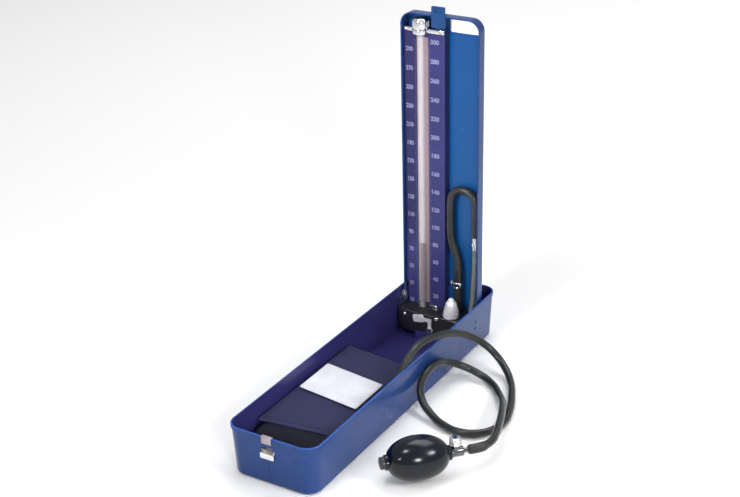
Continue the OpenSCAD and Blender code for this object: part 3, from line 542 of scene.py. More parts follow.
def moulding(name, colour, roughness=0.35):
    """Moulded plastic with a fine spark-eroded skin."""
    f = Finish(name, colour, roughness, Coat_Weight=0.15, Coat_Roughness=0.2)
    patch = f.noise(40, 3)
    f.feed("Base Color", f.mix(patch, shade(colour, 0.8), shade(colour, 1.4)))
    f.feed("Roughness", roughness - 0.05 + patch * 0.12)
    f.bump(f.noise(1500, 2), 0.12, 0.05)
    return f.material


def printed_white(name, colour=(0.82, 0.82, 0.8), roughness=0.35):
    """White lacquer on a thin plate, a little uneven."""
    f = Finish(name, colour, roughness, Coat_Weight=0.2, Coat_Roughness=0.1)
    patch = f.noise(55, 4)
    f.feed("Base Color", f.mix(patch, shade(colour, 0.94), shade(colour, 1.04)))
    f.feed("Roughness", roughness + patch * 0.1)
    f.bump(f.noise(600, 2), 0.05, 0.05)
    return f.material


def woven(name, colour, pitch=0.55, sheen=0.3, depth=0.5, roughness=0.6):
    """Plain weave, with threads one pitch apart that rise and dip over each other."""
    f = Finish(name, colour, roughness, Sheen_Weight=sheen, Sheen_Roughness=0.4,
               Specular_IOR_Level=0.15)
    x, y, z = f.axes()
    turn = math.pi / (pitch * MM)
    warp = ((x + z * 0.7) * turn).sin()
    weft = ((y + z * 0.7) * turn).sin()
    weave = abs(warp * weft)
    slub = f.noise(900, 2, where=f.stretch(1, 0.15, 1))
    wear = f.band(f.noise(30, 4, 0.6), 0.35, 0.8)
    shine = f.mix(weave, shade(colour, 0.72), shade(colour, 1.2))
    f.feed("Base Color", f.mix(wear * 0.4, shine, shade(colour, 1.5)))
    f.feed("Roughness", roughness - weave * 0.12 + slub * 0.1)
    f.bump(weave + slub * 0.5, depth, 0.12)
    return f.material


def clear_glass(name):
    """Thin clear glass that lets the white strip behind it show, with faint grease on it."""
    f = Finish(name, (0.95, 0.97, 0.98), 0.03, Coat_Weight=1.0, Coat_Roughness=0.02)
    film = f.band(f.noise(120, 3), 0.55, 0.8)
    f.feed("Roughness", 0.03 + film * 0.08)
    f.feed("Alpha", 0.1 + film * 0.05)
    return f.material


def quicksilver(name, colour):
    """Mercury behind glass, with a faint film."""
    f = Finish(name, colour, 0.3, Metallic=0.2, Specular_IOR_Level=0.2)
    film = f.noise(300, 2)
    f.feed("Base Color", f.mix(film, shade(colour, 0.85), shade(colour, 1.15)))
    return f.material


def leather(name, colour):
    """Leather disc with open pores."""
    f = Finish(name, colour, 0.7)
    pores = f.node("ShaderNodeTexVoronoi", {}, {"Vector": f.where, "Scale": 2500})
    f.feed("Base Color", f.mix(f.noise(200, 3), shade(colour, 0.7), shade(colour, 1.2)))
    f.bump(pores, 0.3, 0.1)
    return f.material


PALETTE = {}


def recipes():
    """Maker of each finish, and what it takes after the finish's name."""
    case, scale, cloth, label = gauge().case, gauge().scale, gauge().cuff.cloth, gauge().cuff.label
    return {
        "case_enamel": (enamel, case.enamel, 0.2, case.inside),
        "lid_enamel": (enamel, case.enamel, 0.2, case.lid_inside),
        "tongue_enamel": (enamel, case.tongue),
        # painted shade: the lid stop takes the tray's dark inside colour
        "stop_enamel": (enamel, case.inside),
        # painted shade darkens the upper part of the left column of the scale's ground
        "scale_enamel": (enamel, scale.ground, 0.38, None, left_column),
        "white_plate": (printed_white,),
        "strip_white": (printed_white, (0.235, 0.17, 0.195), 0.3),
        "scale_ink": (printed_white, scale.ink, 0.4),
        "chrome_trim": (chrome,),
        "dark_chrome": (chrome, (0.16, 0.16, 0.17), 0.14),
        "pearl_nickel": (chrome, (0.9, 0.9, 0.92), 0.2, 0.45),
        "clip_nickel": (chrome, (0.4, 0.34, 0.37), 0.3, 0.5),
        "bright_steel": (chrome, (0.68, 0.68, 0.69), 0.2),
        "plated_steel": (zinc,),
        "mercury": (quicksilver, scale.mercury),
        "clear_glass": (clear_glass,),
        "black_housing": (moulding, (0.014, 0.014, 0.016), 0.3),
        "black_plastic": (moulding, (0.02, 0.02, 0.022)),
        "black_rubber": (rubber, (0.016, 0.016, 0.017), 0.36, 0.25),
        "bulb_rubber": (rubber, (0.0015, 0.003, 0.0075), 0.17, 0.2, 0.03),
        "hose_rubber": (rubber, (0.011, 0.013, 0.013), 0.3, 0.4),
        "line_rubber": (rubber, (0.1, 0.11, 0.105), 0.42),
        "grey_rubber": (rubber, (0.06, 0.06, 0.06), 0.55),
        "leather_disc": (leather, (0.22, 0.1, 0.04)),
        "cuff_cloth": (woven, cloth, 0.5, 0.05),
        # painted shade: a much darker copy of the cloth for the roll's sides and end
        "cuff_shade": (woven, shade(cloth, 0.2)[:3], 0.5, 0.02),
        # dark thread for the stitches, also used as the painted shadow of the label's backing
        "cuff_thread": (woven, shade(cloth, 0.6)[:3], 0.3),
        "label_cloth": (woven, label, 0.35, 0.1, 0.25),
        "label_thread": (woven, (0.7, 0.7, 0.72), 0.3),
    }


def finish_of(name):
    """The finish of this name, made once."""
    if name not in PALETTE:
        maker, *settings = recipes()[name]
        PALETTE[name] = maker(name, *settings)
    return PALETTE[name]


def clothe(obj, finish):
    """Gives a piece its finish."""
    obj.data.materials.clear()
    obj.data.materials.append(finish_of(finish))
    return obj


def install(obj, body, finish, *nodes, slot=None):
    """A finished piece: its finish, its body and the CAD nodes it stands for.

    A slot is worked out, its finish's own or else that of the first node, but the piece isn't given
    it.
    """
    if nodes and finish not in SLOTS:
        slot = slot or SLOT_OF[nodes[0]]
    clothe(obj, finish)
    if nodes:
        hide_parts(*nodes)
    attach(obj, body)
    return obj


def paint(obj, name, test):
    """Marks the faces that get another colour in the enamel; these marks carry painted shade,
    painted light and a painted highlight.
    """
    marks = obj.data.attributes.new(name, "FLOAT", "FACE")
    for face, share in zip(obj.data.polygons, marks.data):
        share.value = float(test(face))


def gauge():
    return bpy.context.scene.gauge


SLOTS = {material["slot"] for material in frame["record"]["materials"]}
SLOT_OF = {part["node"]: part["material_slot"] for part in frame["record"]["subparts"]}


# ---------- sizes and colours that a user would change ----------


def tint(name, description, default):
    """Setting for a colour."""
    return bpy.props.FloatVectorProperty(
        name=name, description=description, subtype="COLOR", size=3, min=0, max=1, default=default)


def size(name, description, default, low, high):
    """Setting for a size."""
    return bpy.props.FloatProperty(
        name=name, description=description, unit="LENGTH", default=default, min=low, max=high)


class CaseSettings(bpy.types.PropertyGroup):
    enamel: tint("Enamel", "Colour of the case", (0.0165, 0.049, 0.185))
    # painted shade: darker, more violet copy of the enamel for the tray's inside walls and floor
    inside: tint("Inside", "Colour of the enamel inside the tray", (0.034, 0.031, 0.14))
    # painted light: lighter, greener copy of the enamel for the lid's inside
    lid_inside: tint("Lid inside", "Colour of the enamel inside the lid", (0.006, 0.057, 0.187))
    tongue: tint("Tongue", "Colour of the lid's tongue", (0.01, 0.045, 0.14))
    hem: size("Hem", "Height of the tray's folded hem", 0.004, 0.002, 0.008)
    bottom_edge: size("Bottom edge", "Radius of the pressed edge round the tray's floor", 0.003,
                      0.0005, 0.006)


class ScaleSettings(bpy.types.PropertyGroup):
    ground: tint("Ground", "Colour of the scale plate", (0.026, 0.027, 0.11))
    ink: tint("Ink", "Colour of the numerals", (0.155, 0.16, 0.29))
    mercury: tint("Mercury", "Tint of the mercury", (0.09, 0.02, 0.022))
    numeral: size("Numerals", "Height of the numerals' type", 0.0062, 0.004, 0.008)


class CuffSettings(bpy.types.PropertyGroup):
    cloth: tint("Cloth", "Colour of the cuff", (0.024, 0.026, 0.075))
    label: tint("Label", "Colour of the bare label", (0.7, 0.7, 0.78))
    pressure: bpy.props.FloatProperty(
        name="Pressure", description="How firmly the roll is stuffed", default=4, min=0, max=10)


class StageSettings(bpy.types.PropertyGroup):
    floor: tint("Floor", "Colour of the floor", (0.94, 0.94, 0.94))
    key: bpy.props.FloatProperty(
        name="Key light", description="Power of the main light", unit="POWER", default=30, min=0)
    sky: bpy.props.FloatProperty(
        name="Sky", description="Strength of the soft light all round", default=0.5, min=0)


class GaugeSettings(bpy.types.PropertyGroup):
    case: bpy.props.PointerProperty(type=CaseSettings)
    scale: bpy.props.PointerProperty(type=ScaleSettings)
    cuff: bpy.props.PointerProperty(type=CuffSettings)
    stage: bpy.props.PointerProperty(type=StageSettings)


# ---------- operators ----------


class GAUGE_OT_stage(bpy.types.Operator):
    """Floor, soft light and camera"""
    bl_idname = "gauge.stage"
    bl_label = "Stage"

    def light(self, name, place, aim, size, power, spread=180):
        free()
        bpy.ops.object.light_add(type="AREA", location=place)
        lamp = bpy.context.object
        lamp.name = name
        lamp.rotation_euler = (Vector(aim) - Vector(place)).to_track_quat("-Z", "Y").to_euler()
        lamp.data.shape = "RECTANGLE"
        lamp.data.size, lamp.data.size_y = size
        lamp.data.energy = power
        lamp.data.spread = math.radians(spread)

    def execute(self, context):
        settings = gauge().stage
        free()
        bpy.ops.mesh.primitive_plane_add(size=9, location=(0, 0, -0.0004))
        floor = settle(bpy.context.object, "floor")
        f = Finish("floor_paper", tuple(settings.floor), 0.9, Specular_IOR_Level=0.1)
        f.bump(f.noise(200, 2), 0.02, 0.1)
        floor.data.materials.append(f.material)
        key = settings.key
        self.light("top_light", (0, 1.1, 2.2), (0, 1, 0), (1.8, 1.4), key)
        self.light("left_softbox", (-0.13, -0.7, 1.51), (0.08, -0.1, 0), (0.32, 0.32), key * 0.16)
        self.light("right_softbox", (1.2, -1.13, 0.63), (0.08, -0.1, 0), (0.3, 0.3), key * 0.3)
        self.light("side_softbox", (1.35, -0.1, 1), (0.05, -0.2, 0), (0.5, 0.4), key * 0.014, 30)
        self.light("lid_softbox", (-0.3, -1.5, 0.9), (-0.01, 0.15, 0.27), (0.3, 0.3), key * 0.02, 20)
        world = bpy.data.worlds.new("soft_sky")
        world.use_nodes = True
        world.node_tree.nodes["Background"].inputs["Color"].default_value = (1, 1, 1, 1)
        world.node_tree.nodes["Background"].inputs["Strength"].default_value = settings.sky
        context.scene.world = world
        context.scene.view_settings.view_transform = "Standard"
        self.camera(context)
        return {"FINISHED"}

    def camera(self, context):
        """The photograph's viewpoint, solved from the tray, the lid and the numerals."""
        yaw, pitch, roll = 0.5477, 0.435, 0.025
        ahead = Vector((-math.sin(yaw) * math.cos(pitch), math.cos(yaw) * math.cos(pitch),
                        -math.sin(pitch)))
        side = Vector((math.cos(yaw), math.sin(yaw), 0))
        down = ahead.cross(side)
        right = side * math.cos(roll) + down * math.sin(roll)
        up = side * math.sin(roll) - down * math.cos(roll)
        free()
        bpy.ops.object.camera_add()
        camera = bpy.context.object
        camera.name = "photo_camera"
        turn = Matrix((right, up, -ahead)).transposed().to_4x4()
        camera.matrix_world = Matrix.Translation((0.6371, -1.0439, 0.7270)) @ turn
        camera.data.sensor_fit = "HORIZONTAL"
        camera.data.sensor_width = 36
        camera.data.lens = 36 * 1444.22 / 740
        camera.data.clip_start = 0.05
        context.scene.camera = camera


# upright axes of the tube, the bell-shaped cap and the air nozzle, and the stopcock's own place
TUBE, BELL, NOZZLE, COCK = (-21, 138.9), (16.8, 130.9), (17.9, 144.2), (-2.5, 120.5, 15)

BULB_HOSE_ROUTE = [
    (33.8, -24.5, 20.5), (36.8, -18.2, 29.5), (39.2, -11.2, 41), (40.4, -2, 50.8), (41, 10.9, 56.8),
    (42.2, 24.1, 58.3), (45.4, 39.3, 57.7), (49.4, 55.2, 54.6), (53.8, 71.8, 48.5),
    (61, 89.1, 38.5), (70.6, 99.4, 28), (82.9, 101.7, 17.5), (96.4, 95.5, 9.1),
    (109.3, 81.1, 4.6), (121.1, 59.6, 4.3), (131.6, 33.7, 4), (136.4, 11.5, 4), (133.2, -6.6, 4),
    (123, -19, 4), (108.3, -24.5, 4), (90.3, -22, 4.4), (71.5, -13.7, 7.5), (57.2, -5.4, 15.2),
    (50.6, 5.4, 24.1), (49.7, 20, 30.7), (49.9, 37.5, 30.3), (51.7, 58, 22.2),
    (60.9, 70.4, 14.6), (76.5, 75.2, 7.9), (93.8, 69.9, 4.3), (110.9, 52.3, 4.8),
    (122.4, 35.2, 9.2), (130.6, 18.6, 13.2), (138.2, 0.5, 16), (144.6, -17.5, 18),
    (149.9, -34.5, 19.4), (151.8, -44.4, 20.1), (150.7, -54.2, 20.4), (146.8, -62.8, 20.5),
    (141.3, -68.7, 20.5), ]


class GAUGE_OT_bulb_hose(bpy.types.Operator):
    """Hose from the cuff, over the rim and round to the bulb's valve"""
    bl_idname = "gauge.bulb_hose"
    bl_label = "Bulb hose"

    def execute(self, context):
        hose = bent_tube("bulb_hose_rubber", BULB_HOSE_ROUTE, 3.7, solid=False)
        install(hose, "case", "hose_rubber", "bulb_hose")
        sleeve = bent_tube("hose_sleeve", BULB_HOSE_ROUTE[:4] + [(40.6, 3.2, 53.6)], 4.7,
                           swell=(1, 1, 1, 1, 0.84))
        install(sleeve, "case", "black_rubber")
        collar = bent_tube("hose_collar", [
            (150.7, -54.2, 20.4), (149.3, -58.8, 20.5), (146.8, -62.8, 20.5), (141.4, -68.6, 20.5),
            (140, -70, 20.5)], 4.5, swell=(0.84, 1, 1, 1, 0.8))
        install(collar, "case", "black_rubber")
        return {"FINISHED"}


LOOP_ROUTE = [
    (17.9, 144.2, 80), (17.9, 144.2, 83.5), (17.4, 144.2, 90), (15.9, 144.2, 96.2),
    (13.6, 144.1, 102), (11.3, 144.1, 107.8), (9.8, 144, 113.9), (9.2, 144, 121),
    (9.1, 144, 131), (9.1, 144, 142), (9.1, 144, 153.5), (11, 144, 161.5), (16.2, 144, 166.7),
    (23.4, 144, 168.6), (30.5, 144, 166.7), (35.7, 144, 161.5), (37.6, 144, 153.5),
    (37.6, 144, 145), (37.6, 144, 136), (37.6, 144, 128), (37.6, 144, 120),
]

LINE_ROUTE = [
    (37.6, 144, 106), (37.6, 144, 96), (37, 143.6, 76), (36.4, 142.6, 58), (36, 140.6, 44),
    (36, 136.5, 31), (36, 129.5, 19.5), (36, 119.5, 11), (36, 106.5, 6.2), (35.5, 92, 5),
    (33.5, 76, 5.5), (30.5, 61, 8), (27.5, 48, 11.5), (26, 36, 14),
]


class GAUGE_OT_air_lines(bpy.types.Operator):
    """Rubber loop on the lid and the line down to the cuff"""
    bl_idname = "gauge.air_lines"
    bl_label = "Air lines"

    def execute(self, context):
        loop = bent_tube("loop_rubber", LOOP_ROUTE, 4)
        install(loop, "lid", "black_rubber", "loop_hose")
        line = bent_tube("line_rubber_tube", LINE_ROUTE, 3)
        clothe(line, "line_rubber")
        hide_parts("cuff_line")
        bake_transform(line)
        return {"FINISHED"}


class GAUGE_OT_tray(bpy.types.Operator):
    """Pressed tray with a folded hem, a pressed floor edge and the latch's openings"""
    bl_idname = "gauge.tray"
    bl_label = "Tray"

    width, length, height, lean = 92.6, 356, 50, 2

    def shell(self):
        width, length, height, lean = self.width, self.length, self.height, self.lean
        tray = block("tray_enamel", (lean - width / 2, lean - length / 2, 0),
                     (width / 2 - lean, length / 2 - lean, height))
        with Editing(tray) as edit:
            edit.verts(lambda v: v.co.z > 0.02)
            bpy.ops.transform.resize(center_override=(0, 0, 0), value=(
                width / (width - 2 * lean), length / (length - 2 * lean), 1))
            edit.edges(running("z"))
            edit.bevel(14, 10)
            edit.edges(lambda e: e.verts[0].co.z < 1e-5 and e.verts[1].co.z < 1e-5)
            edit.bevel(gauge().case.bottom_edge / MM, 5)
            edit.remove(lambda f: f.normal.z > 0.9)
        return walled(tray, 0.9)

    def seam(self):
        """Cutter for the fine upright joint below the button."""
        cutter = block("seam", (-1.75, -181, 3), (-1.25, -175.85, 27.6))
        with Editing(cutter) as edit:
            edit.verts(lambda v: v.co.z > 0.02 and v.co.y > -0.178)
            bpy.ops.transform.translate(value=mm(0, -1, 0))
        return cutter

    def hem(self):
        """Edge folded outwards round the rim."""
        width, length, height, tall = self.width, self.length, self.height, gauge().case.hem / MM
        return rim("hem", (-width / 2 - 0.7, -length / 2 - 0.7, height - tall),
                   (width / 2 + 0.7, length / 2 + 0.7, height + 0.1), "z", 14.7, 1.5, 0.65)

    def execute(self, context):
        tray = cut(self.shell(),
                   block("window", (-1.5 - 7.5, -184, 27.7), (-1.5 + 7.5, -173, 36.6)),
                   block("slot", (-1.5 - 5, -184, 36.4), (-1.5 + 5, -173, 39.2)),
                   self.seam())
        tray = smooth(join("tray_enamel", [tray, self.hem()]), 40)
        # painted highlight with wear along the top of the rim
        paint(tray, "worn", lambda face: face.center.z > 0.0492)
        # painted shade on the tray's inside walls and floor
        paint(tray, "inside", lambda face: face.center.z < 0.0465 and (
            face.normal.x * face.center.x * 8 + face.normal.y * face.center.y * 2 < -0.05 or
            face.normal.z > 0.7))
        install(tray, "case", "case_enamel", "tray_shell")
        return {"FINISHED"}


class GAUGE_OT_lid(bpy.types.Operator):
    """Pressed lid with a rolled edge, pivot lobes and its tongue"""
    bl_idname = "gauge.lid"
    bl_label = "Lid"

    def shell(self):
        lid = slab("lid_enamel", (-43, 138, 5.2), (43, 151, 346), "y", 12, 10)
        with Editing(lid) as edit:
            edit.edges(lambda e: middle(e).y > 0.1509)
            edit.bevel(2.6, 5)
            edit.remove(lambda f: f.normal.y < -0.9)
        return cut(walled(lid, 1), block("tongue_gap", (-9.3, 137, 344), (6.3, 139.4, 347)))

    def bead(self):
        """Rolled edge round the lid's opening."""
        return cut(rim("lid_bead", (-43.2, 138, 5), (43.2, 139.8, 346.2), "y", 12.2, 1.6, 0.7),
                   block("tongue_gap", (-9.3, 137, 340), (6.3, 139.4, 350)))

    def lobes(self):
        made = []
        for side in (-1, 1):
            lobe = eased_rod("lobe", (side * 42, 140, 39), (side * 43, 140, 39), 6.3, 0.3)
            cut(lobe, rod("hole", (side * 40, 140, 39), (side * 45, 140, 39), 2.55))
            made.append(lobe)
        return made

    def execute(self, context):
        lid = join("lid_enamel", [self.shell(), self.bead()] + self.lobes())
        # painted light on the inside faces of the lid's back panel
        paint(lid, "inside", lambda face: face.normal.y < -0.5 and face.center.y > 0.1485)
        install(smooth(lid, 40), "lid", "lid_enamel", "lid_shell")
        tongue = block("tongue", (-9, 138.2, 334), (6, 139.4, 355))
        rounded(tongue, lambda e: abs(span(e).y) > 0.9 and middle(e).z > 0.35, 1.2, 4)
        cut(tongue, block("eye", (-5.1, 137, 349.2), (2.1, 141, 353.3)))
        softened(tongue, 0.25, 2, 0.8)
        foot = eased_block("foot", (-9, 138.3, 343.8), (6, 149, 345), 0.3)
        fold = eased_block("fold", (-8.2, 139.3, 347.6), (5.2, 140.5, 354.9), 0.4)
        install(smooth(join("lid_tongue_plate", [tongue, foot, fold])), "lid", "tongue_enamel",
                "lid_tongue")
        plate = slab("bare_plate", *corners("name_plate"), "y", 1.5)
        install(smooth(plate), "lid", "white_plate", "name_plate")
        return {"FINISHED"}


class GAUGE_OT_scale(bpy.types.Operator):
    """Numerals and graduations on the scale plate"""
    bl_idname = "gauge.scale"
    bl_label = "Scale"

    zero, step = 24.0, 0.98

    def numeral(self, value, x, spread):
        free()
        bpy.ops.object.text_add(location=mm(x, 141.96, self.zero + value * self.step),
                                rotation=(math.pi / 2, 0, 0))
        text = bpy.context.object
        text.data.body = str(value)
        text.data.size = gauge().scale.numeral
        text.data.align_x, text.data.align_y = "CENTER", "CENTER"
        text.data.extrude = 0.04 * MM
        text.data.offset = 0.3 * MM
        text.data.resolution_u = 3
        text.scale = (spread, 1, 1)
        bpy.ops.object.convert(target="MESH")
        return settle(bpy.context.object)

    def ticks(self):
        made = []
        for edge, way in ((-27.9, -1), (-14.1, 1)):
            for reach, count, pitch in ((1.5, 151, 2), (2.6, 31, 10)):
                ends = sorted((edge, edge + way * reach))
                tick = block("tick", (ends[0], 141.93, self.zero - 0.13),
                             (ends[1], 142.01, self.zero + 0.13))
                made.append(row(tick, count, (0, 0, pitch * self.step * MM)))
        return made

    def execute(self, context):
        numerals = [self.numeral(value, -7.3, 1.02) for value in range(20, 301, 20)]
        numerals += [self.numeral(value, -35.6, 0.84) for value in range(10, 300, 20)]
        install(join("scale_numerals", numerals), "lid", "scale_ink", slot="white_plate")
        install(join("scale_graduations", self.ticks()), "lid", "scale_ink", slot="white_plate")
        clothe(CAD["scale_plate"], "scale_enamel")
        clothe(CAD["tube_backing"], "strip_white")
        return {"FINISHED"}


class GAUGE_OT_tube(bpy.types.Operator):
    """Top cap and clamp bar of the glass tube, and the mercury's rounded top"""
    bl_idname = "gauge.tube"
    bl_label = "Tube"

    def execute(self, context):
        x, y = TUBE
        cap = turned("cap_chrome", [
            (0, 341), (1, 341), (1, 342), (5.6, 342), (6.7, 341.5), (7.6, 340.4), (8, 339),
            (8, 333.4), (7.7, 331.6), (7.2, 331), (6, 331), (6, 326), (4.1, 326), (4.1, 331),
            (0, 331)], (x, y, 0))
        flutes = teeth(block("flute", (7.7, -0.25, 333.6), (8.12, 0.25, 339.2)), (x, y, 0), 40)
        install(join("cap_chrome", [cap] + flutes), "lid", "chrome_trim", "tube_cap")
        bar = eased_block("clamp_bar", (-41.8, 140.4, 327), (3.8, 142, 331), 0.45)
        collar = eased_rod("collar", (x, y, 327), (x, y, 331), 8.2, 0.5)
        cut(collar, rod("bore", (x, y, 320), (x, y, 340), 6.02))
        install(join("clamp_chrome", [bar, collar]), "lid", "chrome_trim", "top_clamp")
        column = turned("mercury_thread", [
            (0, 26), (2.08, 26), (2.08, 101.6), (1.9, 102.1), (1.4, 102.5), (0.7, 102.7),
            (0, 102.75)], (x, y, 0))
        install(column, "lid", "mercury", "mercury_column")
        return {"FINISHED"}


class GAUGE_OT_reservoir(bpy.types.Operator):
    """Black housing, bell-shaped cap, stopcock lever, sleeve and band"""
    bl_idname = "gauge.reservoir"
    bl_label = "Reservoir"

    def housing(self):
        low, high = corners("reservoir_housing")
        shell = block("housing_black", low, high)
        with Editing(shell) as edit:
            edit.edges(lambda e: abs(span(e).y) > 0.9 and middle(e).z < 0.015 and middle(e).x < 0)
            edit.bevel(10.7, 8)
            edit.edges(lambda e: middle(e).y < low.y * MM + 1e-5 or
                       (middle(e).z > high.z * MM - 1e-5 and abs(span(e).y) > 0.9))
            edit.bevel(1.4, 4)
            edit.remove(lambda f: f.normal.y > 0.9)
        walled(shell, 1.6)
        cut(shell,
            *[rod("hole", (*axis, 27), (*axis, 33), radius)
              for axis, radius in ((TUBE, 4.1), (BELL, 4.5), (NOZZLE, 2.65))],
            rod("hole", (COCK[0], 118, COCK[2]), (COCK[0], 126, COCK[2]), 3))
        return smooth(shell, 40)

    def lever(self):
        """Flat bent lever with a broad, slightly tilted thumb pad."""
        x, y, z = COCK
        arm = block("arm", (x - 13.3, y - 1.6, z + 9.2), (x + 1.8, y, z + 12.8))
        post = block("post", (x - 1.8, y - 1.6, z), (x + 1.8, y, z + 12.8))
        arm = join("arm", [arm, post])
        modify(arm, "REMESH", mode="SHARP", octree_depth=6)
        hub = eased_rod("hub", (x, y - 1.6, z), (x, y, z), 3.5, 0.4)
        pad = softened(slab("pad", (-6.2, -1.6, -4.2), (6.2, 0, 4.2), "y", 1.6), 0.35)
        pad.matrix_world = Matrix.Translation(mm(x - 13.3, y, z + 11)) @ Matrix.Rotation(
            math.radians(-10), 4, "Y")
        return smooth(join("lever_chrome", [arm, hub, settle(pad)]))

    def execute(self, context):
        install(self.housing(), "lid", "black_housing", "reservoir_housing")
        install(self.lever(), "lever", "pearl_nickel", "cock_lever")
        bell = turned("bell_chrome", [
            (0, 28), (4.4, 28), (4.4, 31), (8.3, 31), (8.5, 31.3), (8.5, 32.8), (8.25, 33.1),
            (8.25, 33.5), (8.4, 33.8), (8.2, 36), (7.75, 38.6), (7.45, 38.8), (7.5, 39.2),
            (6.8, 42), (5.9, 45.3), (5.4, 47), (4.6, 48.3), (3.4, 49), (3.1, 49.3), (2.9, 50.6),
            (2.3, 51.5), (1.3, 51.95), (0, 52)], (*BELL, 0))
        install(bell, "lid", "pearl_nickel", "bell_cap")
        sleeve = turned("sleeve_rubber", [
            (2.6, 32.5), (4.5, 32.5), (4.7, 32.9), (4.7, 81.8), (4.5, 83), (4.1, 83.5), (2.6, 83.5),
            (2.6, 32.5)], (*NOZZLE, 0))
        install(sleeve, "lid", "black_rubber", "nozzle_sleeve")
        band = turned("band", [
            (4.7, 59.5), (5.3, 59.5), (5.5, 59.8), (5.5, 61.2), (5.3, 61.4), (5.3, 64.1),
            (5.5, 64.3), (5.5, 65.7), (5.3, 66), (4.7, 66), (4.7, 59.5)], (*NOZZLE, 0))
        ears = [eased_block("ear", (9, y, 60.4), (13.6, y + 1, 65.1), 0.3)
                for y in (NOZZLE[1] - 1.4, NOZZLE[1] + 0.4)]
        bolt = eased_rod("bolt", (10.8, 141.9, 62.8), (10.8, 146.5, 62.8), 1.1, 0.3, sides=24)
        install(join("band_chrome", [band, bolt] + ears), "lid", "chrome_trim", "sleeve_band")
        foot = eased_block("foot_clamp", (-12.4, 139.6, 31), (-4.4, 141.9, 33.4), 0.5)
        install(foot, "lid", "bright_steel")
        return {"FINISHED"}


class GAUGE_OT_screws(bpy.types.Operator):
    """Screws and rivets, with slotted or plain domed heads"""
    bl_idname = "gauge.screws"
    bl_label = "Screws"

    def head(self, place, way, radius, height, shank, shank_radius, slot=True):
        """Domed head at a place, facing the way given, with its shank behind it."""
        arc = [(radius * math.cos(t), height * math.sin(t)) for t in
               [k * math.pi / 2 / 6 for k in range(7)]]
        profile = [(0, -shank), (shank_radius, -shank), (shank_radius, 0)] + arc
        profile[-1] = (0, height)
        head = turned("head", profile, place, way, 32)
        if slot:
            turn = Vector(way).to_track_quat("Z", "Y").to_matrix().to_4x4()
            tool = block("slot", (-radius * 1.2, -radius * 0.14, height * 0.45),
                         (radius * 1.2, radius * 0.14, height * 1.3))
            tool.matrix_world = Matrix.Translation(mm(*place)) @ turn @ Matrix.Rotation(
                random.Random(str(place)).uniform(0, 3), 4, "Z")
            cut(head, settle(tool))
        return smooth(head, 40)

    def execute(self, context):
        ahead = (0, -1, 0)
        clamp = [self.head((x, 140.4, 329), ahead, 1.7, 0.9, 3, 1) for x in (-37.8, -0.2)]
        install(join("clamp_screw_heads", clamp), "lid", "bright_steel", "clamp_screws")
        housing = [self.head((x, 122, z), ahead, 2.1, 1.1, 2.4, 1)
                   for x, z in ((-33.7, 26), (3.9, 28.1), (26, 13.2))]
        install(join("housing_screw_heads", housing), "lid", "bright_steel", "housing_screws")
        tongue = [self.head((x, 146, 346), (0, 0, 1), 2.1, 0.5, 2, 1.5, False) for x in (-6, 3)]
        install(join("tongue_rivet_heads", tongue), "lid", "case_enamel", "tongue_rivets")
        return {"FINISHED"}


class GAUGE_OT_latch(bpy.types.Operator):
    """Push button with its spring, and the clip over the rim"""
    bl_idname = "gauge.latch"
    bl_label = "Latch"

    travel = 2.0

    def spring(self):
        """Coil copied from the CAD spring, on the case, with a mesh of its own."""
        coil = outward(copied(CAD["latch_spring"], Matrix()))
        coil.name = "latch_coil"
        install(smooth(coil), "case", "bright_steel", "latch_spring")
        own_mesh(coil)

    def execute(self, context):
        low, high = corners("latch_button")
        button = slab("button_chrome", low, high, "y", 1.1)
        with Editing(button) as edit:
            edit.faces(lambda f: f.normal.y < -0.9)
            bpy.ops.mesh.inset(thickness=0.6 * MM, depth=0)
            bpy.ops.transform.translate(value=(0, -0.25 * MM, 0))
            edit.faces(lambda f: f.normal.y > 0.9)
            bpy.ops.mesh.inset(thickness=1.1 * MM, depth=0)
            bpy.ops.mesh.extrude_region_move(TRANSFORM_OT_translate={
                "value": mm(0, low.y - high.y + 1.2, 0)})
        softened(button, 0.25, 2)
        install(smooth(button), "latch", "chrome_trim", "latch_button")
        low, high = corners("keeper_clip")
        clip = block("clip_chrome", (low.x, low.y, high.z - 0.8), (high.x, high.y, high.z))
        front = block("front", (low.x, low.y, low.z), (high.x, low.y + 0.8, high.z - 0.8))
        back = block("back", (low.x, high.y - 0.8, 46), (high.x, high.y, high.z - 0.8))
        clip = outward(join("clip_chrome", [clip, front, back]))
        softened(clip, 0.35)
        install(smooth(clip), "case", "clip_nickel", "keeper_clip")
        self.spring()
        return {"FINISHED"}


